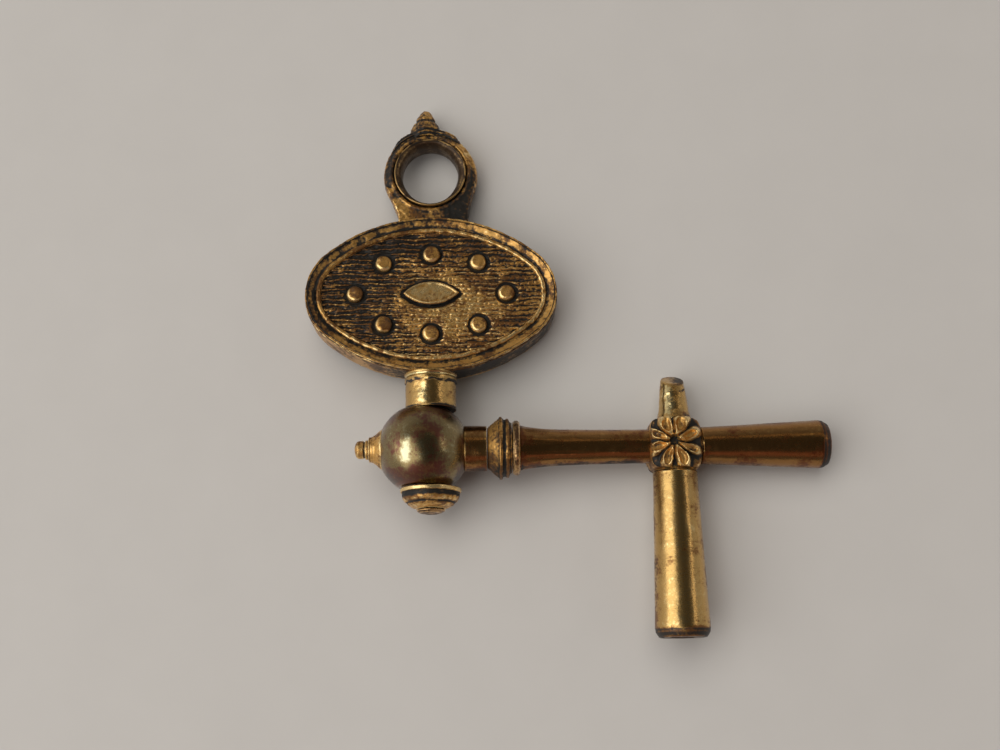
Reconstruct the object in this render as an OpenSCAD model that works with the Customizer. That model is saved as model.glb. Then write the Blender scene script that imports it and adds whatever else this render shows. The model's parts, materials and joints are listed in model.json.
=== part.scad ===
// Crank winding key. A handle with a loop and an oval medallion swivels on a ball,
// and the ball carries a crank arm whose cross hub holds a winding and a setting barrel.
// X runs along the crank arm, Y along the swivel pin, Z up from the surface it lies on.

/* [Medallion] */
// Width of the oval case, across the handle
case_w = 20.3; // [18:0.1:24]
// Height of the oval case, along the handle
case_h = 13; // [11:0.1:15]
// Radius of the two ends of the oval
case_end_r = 4.4; // [4:0.1:5.2]
// Sideways offset of the case from the swivel axis
case_x = 0.1; // [-0.4:0.05:0.4]
// Height of the band that is the wall of the case
band_h = 2.8; // [1.8:0.1:3.4]
// Thickness of the band
band_wall = 0.9; // [0.7:0.05:1.2]
// Chamfer on the outer edges of the band
band_bevel = 0.25; // [0.1:0.05:0.4]
// Thickness of each stamped plate
plate_t = 0.2; // [0.15:0.01:0.4]
// Distance between two cut ribs of a plate
rib_pitch = 0.4; // [0.3:0.02:0.7]
// Height of the ribs
rib_h = 0.12; // [0.06:0.01:0.2]

/* [Bezels] */
// Width of a bezel from the edge of the case inwards
bezel_w = 1.45; // [1.3:0.05:1.8]
// Thickness of the flat strip under the beads
bezel_t = 0.2; // [0.1:0.02:0.3]
// Height of the two beads above the strip
bead_h = 0.26; // [0.15:0.01:0.4]
// Width of the outer bead
outer_bead_w = 0.55; // [0.4:0.05:0.6]
// Width of the inner bead
inner_bead_w = 0.45; // [0.35:0.05:0.55]
// Step from the edge of the case to the outer bead
bezel_step = 0.1; // [0.05:0.01:0.15]

/* [Studs and lozenge] */
// Radius of a stud
stud_r = 0.75; // [0.5:0.05:0.9]
// Height of a stud above its plate
stud_h = 0.5; // [0.3:0.05:0.7]
// Radius of the shank that rivets a stud to its plate
shank_r = 0.3; // [0.2:0.05:0.4]
// Half width of the ring of studs, across the handle
stud_ring_x = 6.05; // [5:0.05:6.4]
// Half height of the ring of studs, along the handle
stud_ring_y = 3.35; // [2.9:0.05:3.6]
// Angle of the four slanting studs on that ring
stud_angle = 51; // [42:1:58]
// Length of the lozenge between its points
lozenge_l = 4.6; // [3.6:0.1:6]
// Width of the lozenge
lozenge_w = 2.0; // [1.4:0.1:2.4]
// Height of the lozenge above its plate
lozenge_h = 0.42; // [0.25:0.01:0.6]
// Bevel round the edge of the lozenge
lozenge_bevel = 0.22; // [0.1:0.01:0.3]

/* [Bow] */
// Outer radius of the bow ring
bow_r = 3.85; // [3.5:0.05:5]
// Thickness of the bow ring
bow_t = 2.1; // [1.7:0.1:3]
// Distance from the top of the case to the middle of the ring
bow_rise = 4.15; // [4:0.05:6]
// Half width of the foot where it meets the case
foot_half_w = 2.8; // [2.4:0.1:3.3]
// Radius of the straight part of the hole
eye_r = 2.28; // [2:0.02:2.5]
// Length of that straight part
eye_land = 1.1; // [0.8:0.1:1.4]
// Wall of the eyelet that lines the hole
eye_wall = 0.34; // [0.25:0.01:0.45]
// Width of the eyelet's lip on the face of the ring
eye_lip_w = 0.36; // [0.2:0.02:0.4]
// Thickness of that lip
eye_lip_t = 0.16; // [0.1:0.01:0.25]
// Height of the finial above the ring
finial_h = 2.3; // [1.6:0.1:4]
// Radius of the finial's base
finial_r = 1.25; // [0.8:0.05:1.6]
// Sideways offset of the finial
finial_x = -0.4; // [-0.5:0.05:0.5]
// Width of the saddle that the finial stands on
finial_saddle_w = 4.1; // [3:0.1:5]
// Thickness of that saddle
finial_saddle_t = 0.3; // [0.2:0.02:0.5]
// Depth of that saddle, across the ring
finial_saddle_d = 1.4; // [1:0.05:1.4]

/* [Swivel] */
// Radius of the swivel pin
pin_r = 0.7; // [0.5:0.02:0.8]
// Radial running clearance of the pin in the ball
run_gap = 0.05; // [0.03:0.01:0.1]
// Axial clearance at each flat of the ball
end_gap = 0.1; // [0.05:0.01:0.2]
// Radius of the neck drum
neck_r = 2.15; // [1.8:0.05:2.6]
// Length of the neck drum, from the ball to the case
neck_len = 2.75; // [2:0.05:4]
// Radius of the end cap's rim
cap_r = 2.45; // [1.9:0.05:2.8]
// Thickness of that rim
cap_rim_t = 0.85; // [0.6:0.05:1.4]
// Height of the cap's dome
cap_dome_h = 0.85; // [0.6:0.05:1.6]
// Radius of the rivet head on the pin
rivet_r = 1.1; // [0.9:0.05:1.3]
// Height of the rivet head
rivet_h = 0.32; // [0.2:0.02:0.5]

/* [Ball] */
// Radius of the ball
ball_r = 3.65; // [3.1:0.05:4.2]
// Depth that each flat takes off the ball
ball_trim = 0.63; // [0.3:0.01:0.75]
// Offset of the ball from the swivel axis
ball_x = -0.55; // [-0.8:0.05:0]
// Length of the knob on the far side of the ball
knob_l = 1.8; // [1.6:0.05:3]
// Radius of the knob's end
knob_r = 0.72; // [0.5:0.02:0.9]
// Radius of the knob's base
knob_base_r = 1.6; // [1.3:0.05:1.9]

/* [Crank arm] */
// Length of the turned neck from the ball to the flange
arm_neck_l = 1.3; // [1:0.05:2.5]
// Radius of that neck
arm_neck_r = 1.57; // [1.3:0.01:1.9]
// Length of the flange
flange_l = 2.0; // [1.4:0.05:3]
// Radius of the flange's crest
flange_r = 2.52; // [2.1:0.02:3]
// Length of the small ring behind the flange
ring_l = 0.62; // [0.4:0.02:1]
// Radius of the small ring
ring_r = 2.2; // [2.05:0.02:2.5]
// Length of the arm from the ring to the hub
arm_l = 10.0; // [7:0.1:16]
// Radius of the arm at the ring
arm_root_r = 1.8; // [1.6:0.02:2]
// Radius of the arm at the hub
arm_tip_r = 1.36; // [1.2:0.02:1.6]
// Length over which the arm thins
arm_taper_l = 2.0; // [1:0.1:4]
// Radius of the spigots that join arm, barrels, hub and ball
spigot_r = 0.9; // [0.6:0.05:1]
// Depth of the arm's spigot and the knob's peg in the ball
ball_spigot_l = 1.2; // [0.8:0.05:1.4]

/* [Hub] */
// Width and height of the hub
hub_w = 4.2; // [3.8:0.1:5.4]
// Thickness of the hub
hub_t = 3.7; // [3.4:0.1:4.2]
// Radius that rounds the hub's corners
hub_round_r = 2.72; // [2.6:0.02:3.2]
// Radius of a rosette
rosette_r = 1.9; // [1.6:0.05:2]
// Sideways offset of the rosettes on the hub
rosette_x = -0.2; // [-0.2:0.05:0.2]
// Thickness of a rosette's base
rosette_t = 0.2; // [0.1:0.02:0.3]
// Number of petals
petals = 8; // [5:1:10]
// Radius of a petal's round
petal_r = 0.5; // [0.4:0.02:0.56]
// Height of the petals above the base
petal_h = 0.34; // [0.2:0.02:0.4]
// Length of the stub above the hub
stub_l = 3.9; // [2:0.05:5]
// Radius of the stub at the hub
stub_root_r = 1.32; // [1:0.02:1.6]
// Radius of the stub near its end
stub_tip_r = 0.97; // [0.8:0.01:1.2]

/* [Winding barrel] */
// Length of the winding barrel below the hub
wind_l = 12.7; // [9:0.05:20]
// Radius of the winding barrel at the hub
wind_root_r = 1.76; // [1.5:0.02:2]
// Radius of the winding barrel near its mouth
wind_mouth_r = 2.14; // [1.9:0.02:2.8]
// Across flats of the winding square
wind_square = 1.75; // [1.4:0.05:2]
// Outer radius of the steel winding socket
wind_socket_r = 1.55; // [1.5:0.02:1.7]
// Length of the steel winding socket
wind_socket_l = 7.0; // [5:0.1:9]
// Depth of the winding square
wind_depth = 5.5; // [3:0.1:5.8]

/* [Setting barrel] */
// Length of the setting barrel beyond the hub
set_l = 10; // [8:0.05:16]
// Radius of the setting barrel at the hub
set_root_r = 1.49; // [1.3:0.02:1.8]
// Radius of the setting barrel near its mouth
set_mouth_r = 1.93; // [1.7:0.02:2.4]
// Across flats of the setting square
set_square = 1.35; // [1:0.05:1.6]
// Outer radius of the steel setting socket
set_socket_r = 1.3; // [1.2:0.02:1.45]
// Length of the steel setting socket
set_socket_l = 6.0; // [4.5:0.1:7.5]
// Depth of the setting square
set_depth = 4.5; // [2.5:0.1:5]
// Chamfer at the mouth of both barrels, across
mouth_chamfer = 0.28; // [0.1:0.02:0.36]
// Chamfer at the mouth of both barrels, along
mouth_chamfer_l = 0.6; // [0.2:0.05:1]

/* [Fits] */
// Radial clearance of soldered joints
seat_gap = 0.02; // [0.01:0.01:0.04]

/* [Hidden] */
$fn = 72;

// Overlap of a cut past the face that it opens
over = 0.5;
// Metal left between two spigots that meet in the hub
spigot_web = 0.1;
// Peg of the bow's finial in the ring
finial_peg_r = 0.4;
finial_peg_l = 0.6;
// Peg of the knob in the ball
knob_peg_r = 0.5;
// Depth to which the foot and the neck wrap the edge of the case, past its curve
saddle = 0.15;
// Edge that is broken on the neck drum
neck_edge = 0.1;
// Lead that is countersunk into the square sockets
socket_lead = 0.15;

// The oval is four arcs that meet without a corner: two end arcs and two long side arcs
end_x = case_w / 2 - case_end_r;
end_y = case_h / 2 - case_end_r;
side_y = (end_x * end_x - end_y * end_y) / (2 * end_y);
side_r = case_h / 2 + side_y;
side_angle = atan2(end_x, side_y);

// Heights across the handle, from its middle plane
strip_z = band_h / 2;
bead_z = strip_z + bezel_t;
bezel_top = bead_z + bead_h;
plate_z = strip_z - plate_t;
case_top = max(bezel_top, strip_z + stud_h, strip_z + lozenge_h);

// Places along the swivel axis, from the crank arm's axis
ball_flat = ball_r - ball_trim;
neck_y = ball_flat + end_gap;
case_low_y = neck_y + neck_len;
case_y = case_low_y + case_h / 2;
case_high_y = case_low_y + case_h;
bow_y = case_high_y + bow_rise;
bow_bore_r = eye_r + eye_wall;
cap_y = -neck_y;
cap_face_y = cap_y - cap_rim_t - cap_dome_h;
pin_high_y = case_low_y + band_wall;

// Places along the crank arm, from the swivel axis
neck_x = ball_x + ball_r;
flange_x = neck_x + arm_neck_l;
ring_x = flange_x + flange_l;
arm_x = ring_x + ring_l;
hub_x = arm_x + arm_l + hub_w / 2;
set_x = hub_x + hub_w / 2;
hub_spigot_l = hub_w / 2 - spigot_r - spigot_web;
rosette_z = hub_t / 2;
petal_ring_r = rosette_r - petal_r;

// The part is placed with the middle of its base at the origin
low_x = min(case_x - case_w / 2, ball_x - ball_r - knob_l);
high_x = max(case_x + case_w / 2, set_x + set_l);
low_y = min(cap_face_y - rivet_h, -hub_w / 2 - wind_l);
high_y = max(bow_y + bow_r + finial_h, hub_w / 2 + stub_l);
rest_z = max(ball_r, flange_r, ring_r, neck_r, cap_r, bow_t / 2 + eye_lip_t, case_top,
             rosette_z + rosette_t + petal_h, wind_mouth_r, set_mouth_r);
place = [-(low_x + high_x) / 2, -(low_y + high_y) / 2, rest_z];

gilt = "#b58f45";
dark_gilt = "#8d6a33";
steel = "#6f6a64";

// How far the edge of the case falls away at distance x from its middle
function case_dip(x) = side_r - sqrt(side_r * side_r - x * x);

// Points along an arc about [x, y] from angle a to angle b
function arc(x, y, r, a, b, steps = 8) =
  [for (i = [0:steps]) let (t = a + (b - a) * i / steps) [x + r * cos(t), y + r * sin(t)]];

// A point pattern and its mirror image below the middle plane, as one closed outline
function mirrored(points) =
  concat(points, [for (i = [len(points) - 1:-1:0]) [points[i][0], -points[i][1]]]);

// Axes that pieces are turned about
module on_swivel(y = 0) { translate([0, y, 0]) rotate([-90, 0, 0]) children(); }
module on_arm(x = 0) { translate([x, 0, 0]) rotate([0, 90, 0]) children(); }
module on_wind() { translate([hub_x, -hub_w / 2, 0]) rotate([90, 0, 0]) children(); }
module on_stub() { translate([hub_x, hub_w / 2, 0]) rotate([-90, 0, 0]) children(); }
module in_case() { translate([case_x, case_y, 0]) children(); }
module in_bow() { translate([0, bow_y, 0]) children(); }
module facing(front) { mirror([0, 0, front ? 0 : 1]) children(); }
module finish(tint) { color(tint) translate(place) children(); }

// Solid oval between heights z and z + h, set in by d0 at its base and d1 at its top
module oval(z, h, d0, d1) {
  reach = case_w;
  slant_x = end_x + reach * sin(side_angle);
  slant_y = reach * cos(side_angle);
  translate([0, 0, z]) {
    for (side = [-1, 1]) {
      translate([side * end_x, 0, 0])
        cylinder(r1 = case_end_r - d0, r2 = case_end_r - d1, h = h);
    }
    intersection() {
      translate([0, -side_y, 0]) cylinder(r1 = side_r - d0, r2 = side_r - d1, h = h);
      translate([0, side_y, 0]) cylinder(r1 = side_r - d0, r2 = side_r - d1, h = h);
      linear_extrude(h)
        polygon([[end_x, 0], [slant_x, slant_y], [-slant_x, slant_y],
                 [-end_x, 0], [-slant_x, -slant_y], [slant_x, -slant_y]]);
    }
  }
}

// Moulded frame: two beads with a groove between them, open in the middle
module bezel_shape() {
  outer_flank = outer_bead_w / 3;
  inner_flank = inner_bead_w / 3;
  groove_d = bezel_step + outer_bead_w;
  rise = (bead_h + over) / bead_h;
  difference() {
    union() {
      oval(strip_z, bezel_t, bezel_step, bezel_step);
      oval(bead_z, bead_h, bezel_step, bezel_step + outer_flank);
    }
    oval(strip_z - over, bezel_t + bead_h + 2 * over, bezel_w, bezel_w);
    difference() {
      oval(bead_z, bead_h + over, groove_d, groove_d - outer_flank * rise);
      oval(bead_z - over, bead_h + over, bezel_w - inner_bead_w, bezel_w - inner_bead_w + inner_flank);
    }
  }
}

// Outside of the band, with its edges chamfered
module band_outside() {
  oval(-strip_z, band_bevel, band_bevel, 0);
  oval(-strip_z + band_bevel, band_h - 2 * band_bevel, 0, 0);
  oval(strip_z - band_bevel, band_bevel, 0, band_bevel);
}

// What the bow's foot and the neck are shaped to sit against, moved away by the seat gap
module case_cutter(dy) {
  translate([case_x, case_y + dy, 0]) {
    band_outside();
    for (front = [true, false]) {
      facing(front) {
        oval(strip_z, bezel_t, bezel_step, bezel_step);
        oval(bead_z, bead_h, bezel_step, bezel_step + outer_bead_w / 3);
      }
    }
  }
}

// Hoop that is the wall of the medallion, drilled for the swivel pin
module case_band() {
  finish(gilt) difference() {
    in_case() band_outside();
    in_case() oval(-strip_z - over, band_h + 2 * over, band_wall, band_wall);
    on_swivel(case_low_y - over) cylinder(r = pin_r + seat_gap, h = band_wall + 2 * over);
  }
}

module at_studs() {
  for (turn = [0, stud_angle, 90, 180 - stud_angle, 180, 180 + stud_angle, 270, 360 - stud_angle]) {
    translate([stud_ring_x * cos(turn), stud_ring_y * sin(turn), 0]) children();
  }
}

// Pointed oval that two arcs enclose, narrowed by the bevel at its top
module lozenge_shape(z, h, grow, bevel) {
  half_l = lozenge_l / 2;
  half_w = lozenge_w / 2;
  arc_r = (half_l * half_l + half_w * half_w) / (2 * half_w);
  translate([0, 0, z]) intersection_for(side = [-1, 1]) {
    translate([0, side * (arc_r - half_w), 0])
      cylinder(r1 = arc_r + grow, r2 = arc_r + grow - bevel, h = h);
  }
}

// Stamped plate: a thin oval with cut ribs, bare under the studs and the lozenge
module plate_shape() {
  rib_count = floor((case_h / 2 - bezel_w) / rib_pitch);
  rib_w = rib_pitch / 4;
  difference() {
    union() {
      oval(plate_z, plate_t, band_wall + seat_gap, band_wall + seat_gap);
      intersection() {
        oval(plate_z, plate_t + rib_h, bezel_w + seat_gap, bezel_w + seat_gap);
        rotate([90, 0, 90]) linear_extrude(case_w, center = true) polygon(concat(
          [[-case_h / 2, plate_z + plate_t / 2], [-case_h / 2, strip_z]],
          [for (i = [-rib_count:rib_count]) each [
            [i * rib_pitch - rib_w, strip_z], [i * rib_pitch - rib_w / 2, strip_z + rib_h],
            [i * rib_pitch + rib_w / 2, strip_z + rib_h], [i * rib_pitch + rib_w, strip_z]]],
          [[case_h / 2, strip_z], [case_h / 2, plate_z + plate_t / 2]]));
      }
    }
    at_studs() {
      translate([0, 0, strip_z]) cylinder(r = stud_r + seat_gap, h = over);
      translate([0, 0, plate_z - over]) cylinder(r = shank_r + seat_gap, h = plate_t + 2 * over);
    }
    lozenge_shape(strip_z, over, seat_gap, 0);
  }
}

module front_plate() { finish(gilt) in_case() plate_shape(); }
module back_plate() { finish(gilt) in_case() facing(false) plate_shape(); }
module front_bezel() { finish(gilt) in_case() bezel_shape(); }
module back_bezel() { finish(gilt) in_case() facing(false) bezel_shape(); }

// Stud with a rounded edge and a riveted shank
module stud_shape() {
  edge = stud_h * 0.4;
  peen = plate_t * 0.6;
  translate([0, 0, strip_z]) rotate_extrude()
    polygon(concat([[0, -plate_t - peen], [shank_r, -plate_t - peen], [shank_r, 0], [stud_r, 0]],
                   arc(stud_r - edge, stud_h - edge, edge, 0, 90, 4), [[0, stud_h]]));
}

module front_studs() { finish(gilt) in_case() at_studs() stud_shape(); }
module back_studs() { finish(gilt) in_case() facing(false) at_studs() stud_shape(); }
module front_lozenge() {
  finish(gilt) in_case() lozenge_shape(strip_z, lozenge_h, 0, lozenge_bevel);
}
module back_lozenge() {
  finish(gilt) in_case() facing(false) lozenge_shape(strip_z, lozenge_h, 0, lozenge_bevel);
}

// Moulded ring with a foot that is saddled on the case
module bow_ring() {
  half_t = bow_t / 2;
  crown = bow_r - bow_bore_r;
  foot_sink = case_dip(foot_half_w + abs(case_x)) + saddle;
  shoulder_y = bow_r * 0.45;
  shoulder_x = sqrt(bow_r * bow_r - shoulder_y * shoulder_y);
  bead = crown * 0.28;
  moulding = mirrored([
    [bow_bore_r + seat_gap, half_t], [bow_bore_r + crown * 0.42, half_t],
    [bow_bore_r + crown * 0.5, half_t - bead * 0.6], [bow_r - bead * 1.4, half_t],
    [bow_r - bead * 0.5, half_t - bead * 0.25], [bow_r, half_t - bead]]);
  finish(gilt) difference() {
    union() {
      in_bow() rotate_extrude() polygon(moulding);
      in_bow() translate([0, 0, -half_t + bead / 2]) linear_extrude(bow_t - bead)
        polygon([[-shoulder_x, -shoulder_y], [shoulder_x, -shoulder_y],
                 [foot_half_w, -bow_rise - foot_sink], [-foot_half_w, -bow_rise - foot_sink]]);
    }
    in_bow() translate([0, 0, -half_t - over])
      cylinder(r = bow_bore_r + seat_gap, h = bow_t + 2 * over);
    case_cutter(seat_gap);
    translate([finial_x, bow_y + bow_r - finial_peg_l - seat_gap, 0]) rotate([-90, 0, 0])
      cylinder(r = finial_peg_r + seat_gap, h = finial_peg_l + over);
  }
}

// Eyelet that lines the hole: straight in the middle, opened out to a lip on each face
module bow_eyelet() {
  half_t = bow_t / 2;
  lip_z = half_t + eye_lip_t;
  lip_r = bow_bore_r + eye_lip_w;
  flare = [lip_r - eye_lip_t - eye_r, lip_z - eye_land / 2];
  inner = [for (i = [0:6]) let (t = 90 * i / 6)
    [eye_r + flare[0] * (1 - cos(t)), eye_land / 2 + flare[1] * sin(t)]];
  finish(gilt) in_bow() rotate_extrude() polygon(mirrored(concat(
    inner, [[lip_r, lip_z - eye_lip_t / 2], [lip_r, half_t], [bow_bore_r, half_t]])));
}

// Pointed finial on a curved saddle, as thick as the ring and pegged into its top
module bow_finial() {
  step = finial_h * 0.22;
  flank_l = finial_h - step * 1.3;
  sink = bow_r - sqrt(bow_r * bow_r - pow(finial_r + abs(finial_x), 2));
  finish(gilt) difference() {
    intersection() {
      union() {
        translate([finial_x, bow_y + bow_r, 0]) rotate([-90, 0, 0]) {
          rotate_extrude() polygon(concat(
            [[0, -sink], [finial_r, -sink], [finial_r, step * 0.8], [finial_r * 0.86, step]],
            [for (i = [0:8]) let (t = i / 8)
              [finial_r * 0.86 * pow(1 - t, 0.6), finial_h - flank_l * (1 - t)]]));
          translate([0, 0, -finial_peg_l]) cylinder(r = finial_peg_r, h = finial_peg_l);
        }
        intersection() {
          in_bow() difference() {
            cylinder(r = bow_r + finial_saddle_t, h = finial_saddle_d, center = true);
            cylinder(r = bow_r, h = 2 * finial_saddle_d, center = true);
          }
          translate([finial_x - finial_saddle_w / 2, bow_y, -finial_saddle_d])
            cube([finial_saddle_w, 2 * bow_r, 2 * finial_saddle_d]);
        }
      }
      translate([finial_x - bow_r, bow_y, -bow_t / 2]) cube([2 * bow_r, bow_r + 2 * finial_h, bow_t]);
    }
    difference() {
      in_bow() translate([0, 0, -bow_t]) cylinder(r = bow_r + seat_gap, h = 2 * bow_t);
      translate([finial_x, bow_y, 0]) rotate([-90, 0, 0]) cylinder(r = finial_peg_r, h = 2 * bow_r);
    }
  }
}

// Drum between case and ball, with a rounded shoulder saddled on the case
module neck_drum() {
  round_r = neck_r * 0.35;
  height = neck_len + case_dip(neck_r + abs(case_x)) + 2 * saddle;
  finish(gilt) difference() {
    on_swivel(neck_y) rotate_extrude() polygon(concat(
      [[pin_r + seat_gap, 0], [neck_r - neck_edge, 0], [neck_r, neck_edge]],
      arc(neck_r - round_r, height - round_r, round_r, 0, 90, 6),
      [[pin_r + seat_gap, height]]));
    case_cutter(-seat_gap);
  }
}

// Fixed pin through the case, the neck, the ball and the cap, with a rivet head outside
module swivel_pin() {
  dome_r = (rivet_r * rivet_r + rivet_h * rivet_h) / (2 * rivet_h);
  dome_angle = asin(rivet_r / dome_r);
  finish(dark_gilt) on_swivel() rotate_extrude() polygon(concat(
    [[0, pin_high_y], [pin_r, pin_high_y], [pin_r, cap_face_y]],
    arc(0, cap_face_y - rivet_h + dome_r, dome_r, -90 + dome_angle, -90, 5)));
}

// Turned cap: a rim, a groove and a dome that the pin is riveted over
module end_cap() {
  edge = cap_rim_t * 0.2;
  groove_r = cap_r * 0.8;
  dome_r = cap_r * 0.84;
  dome = [for (i = [0:6]) let (t = 90 * i / 6)
    [rivet_r + (dome_r - rivet_r) * cos(t), cap_y - cap_rim_t - cap_dome_h * (0.2 + 0.8 * sin(t))]];
  finish(gilt) on_swivel() rotate_extrude() polygon(concat(
    [[pin_r + seat_gap, cap_face_y], [pin_r + seat_gap, cap_y], [cap_r - edge, cap_y]],
    [[cap_r, cap_y - edge], [cap_r, cap_y - cap_rim_t + edge], [cap_r - edge, cap_y - cap_rim_t]],
    [[groove_r, cap_y - cap_rim_t - cap_dome_h * 0.05]], dome));
}

// Ball with two flats, bored for the swivel pin and drilled for the arm and the knob
module ball() {
  finish(gilt) difference() {
    translate([ball_x, 0, 0]) sphere(r = ball_r, $fn = 96);
    for (side = [-1, 1]) {
      translate([ball_x - ball_r, side > 0 ? ball_flat : -ball_flat - ball_r, -ball_r])
        cube([2 * ball_r, ball_r, 2 * ball_r]);
    }
    on_swivel(-ball_r) cylinder(r = pin_r + run_gap, h = 2 * ball_r);
    on_arm(neck_x - ball_spigot_l - seat_gap)
      cylinder(r = spigot_r + seat_gap, h = ball_spigot_l + over);
    on_arm(ball_x - ball_r - over)
      cylinder(r = knob_peg_r + seat_gap, h = over + ball_spigot_l + seat_gap);
  }
}

// Piece turned onto the ball, with its root hollowed to fit the ball's surface
module turned_on_ball() {
  difference() {
    children();
    difference() {
      translate([ball_x, 0, 0]) sphere(r = ball_r + seat_gap, $fn = 96);
      on_arm(ball_x - 2 * ball_r) cylinder(r = knob_peg_r, h = 2 * ball_r);
    }
  }
}

// Stepped knob on the far side of the ball, pegged into it
module ball_knob() {
  root = ball_r - sqrt(ball_r * ball_r - knob_base_r * knob_base_r);
  collar_r = knob_r * 1.3;
  collar = knob_l * 0.42;
  end_round = knob_r * 0.45;
  finish(gilt) turned_on_ball()
    translate([ball_x - ball_r, 0, 0]) rotate([0, -90, 0]) union() {
      rotate_extrude() polygon(concat(
        [[0, -root], [knob_base_r, -root], [knob_base_r * 0.9, knob_l * 0.02]],
        [[knob_base_r * 0.7, knob_l * 0.16], [collar_r, knob_l * 0.3], [collar_r, collar]],
        [[knob_r, collar + knob_l * 0.04]],
        arc(knob_r - end_round, knob_l - end_round, end_round, 0, 90, 5), [[0, knob_l]]));
      translate([0, 0, -ball_spigot_l]) cylinder(r = knob_peg_r, h = ball_spigot_l);
    }
}

// Short turned neck that the arm's spigot passes through on its way into the ball
module arm_neck() {
  root_r = arm_neck_r * 1.16;
  root = ball_r - sqrt(ball_r * ball_r - root_r * root_r);
  finish(gilt) difference() {
    on_arm(neck_x) rotate_extrude() polygon([
      [spigot_r + seat_gap, -root], [root_r, -root], [arm_neck_r, arm_neck_l * 0.16],
      [arm_neck_r, arm_neck_l], [spigot_r + seat_gap, arm_neck_l]]);
    translate([ball_x, 0, 0]) sphere(r = ball_r + seat_gap, $fn = 96);
  }
}

// Flange with a sharp crest, threaded on the arm's spigot
module arm_flange() {
  rise = flange_r - arm_neck_r;
  finish(gilt) on_arm(flange_x) rotate_extrude() polygon([
    [spigot_r + seat_gap, 0], [arm_neck_r, 0], [arm_neck_r + rise * 0.36, flange_l * 0.1],
    [flange_r - rise * 0.04, flange_l * 0.54], [flange_r, flange_l * 0.58],
    [flange_r - rise * 0.04, flange_l * 0.64], [flange_r - rise * 0.16, flange_l * 0.8],
    [flange_r - rise * 0.5, flange_l], [spigot_r + seat_gap, flange_l]]);
}

// Small half-round ring behind the flange
module arm_ring() {
  bead_r = ring_l / 2;
  finish(dark_gilt) on_arm(ring_x) rotate_extrude() polygon(concat(
    [[spigot_r + seat_gap, 0]], arc(ring_r - bead_r, bead_r, bead_r, -90, 90, 8),
    [[spigot_r + seat_gap, ring_l]]));
}

// Arm that thins from the ring towards the hub, with a spigot at each end
module crank_arm() {
  steps = 12;
  back_l = ring_l + flange_l + arm_neck_l + ball_spigot_l;
  finish(gilt) on_arm(arm_x) rotate_extrude() polygon(concat(
    [[0, -back_l], [spigot_r, -back_l], [spigot_r, 0]],
    [for (i = [0:steps]) let (x = arm_l * pow(i / steps, 1.6))
      [arm_tip_r + (arm_root_r - arm_tip_r) * exp(-x / arm_taper_l), x]],
    [[spigot_r, arm_l], [spigot_r, arm_l + hub_spigot_l], [0, arm_l + hub_spigot_l]]));
}

// Cross block drilled for the arm, the two barrels and the stub
module hub() {
  drill_l = hub_spigot_l + seat_gap;
  finish(gilt) difference() {
    intersection() {
      translate([hub_x, 0, 0]) cube([hub_w, hub_w, hub_t], center = true);
      translate([hub_x, 0, 0]) sphere(r = hub_round_r, $fn = 96);
    }
    for (turn = [0:90:270]) {
      translate([hub_x, 0, 0]) rotate([0, 90, turn]) translate([0, 0, hub_w / 2 - drill_l])
        cylinder(r = spigot_r + seat_gap, h = drill_l + over);
    }
  }
}

// Flower of hollowed petals round a boss, soldered on the face of the hub
module rosette_shape() {
  hollow_r = petal_r * 0.72;
  boss_r = petal_ring_r - petal_r * 0.75;
  translate([hub_x + rosette_x, 0, rosette_z]) {
    cylinder(r = petal_ring_r, h = rosette_t);
    intersection() {
      translate([0, 0, rosette_t / 2]) cylinder(r = rosette_r + over, h = rosette_t / 2 + petal_h);
      difference() {
        for (i = [0:petals - 1]) rotate(i * 360 / petals) translate([petal_ring_r, 0, rosette_t])
          sphere(r = petal_r, $fn = 48);
        for (i = [0:petals - 1]) rotate(i * 360 / petals)
          translate([petal_ring_r + petal_r * 0.2, 0, rosette_t + petal_h]) sphere(r = hollow_r, $fn = 48);
      }
    }
    rotate_extrude() polygon([[0, rosette_t / 2], [boss_r, rosette_t / 2],
      [boss_r, rosette_t + petal_h * 0.7], [boss_r * 0.75, rosette_t + petal_h],
      [boss_r * 0.4, rosette_t + petal_h * 0.8], [boss_r * 0.35, rosette_t], [0, rosette_t]]);
  }
}

module front_rosette() { finish(gilt) rosette_shape(); }
module back_rosette() { finish(gilt) facing(false) rosette_shape(); }

// Stub that closes the fourth arm of the cross, grooved under its rounded end
module hub_stub() {
  groove = stub_l * 0.82;
  end_round = stub_tip_r * 0.35;
  finish(gilt) on_stub() rotate_extrude() polygon(concat(
    [[0, -hub_spigot_l], [spigot_r, -hub_spigot_l], [spigot_r, 0], [stub_root_r, 0]],
    [[stub_root_r * 0.9, stub_l * 0.25], [stub_tip_r, groove - stub_l * 0.03]],
    [[stub_tip_r * 0.88, groove], [stub_tip_r * 0.97, groove + stub_l * 0.03]],
    arc(stub_tip_r * 0.97 - end_round, stub_l - end_round, end_round, 0, 90, 4), [[0, stub_l]]));
}

// Flared barrel with a spigot at its root and a bore for its socket at its mouth
module barrel_shape(l, root_r, mouth_r, socket_r, socket_l) {
  bore_r = socket_r + seat_gap;
  bore_l = socket_l + seat_gap;
  rotate_extrude() polygon([
    [0, -hub_spigot_l], [spigot_r, -hub_spigot_l], [spigot_r, 0], [root_r, 0],
    [mouth_r, l - mouth_chamfer_l], [mouth_r - mouth_chamfer, l],
    [bore_r, l], [bore_r, l - bore_l], [0, l - bore_l]]);
}

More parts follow.
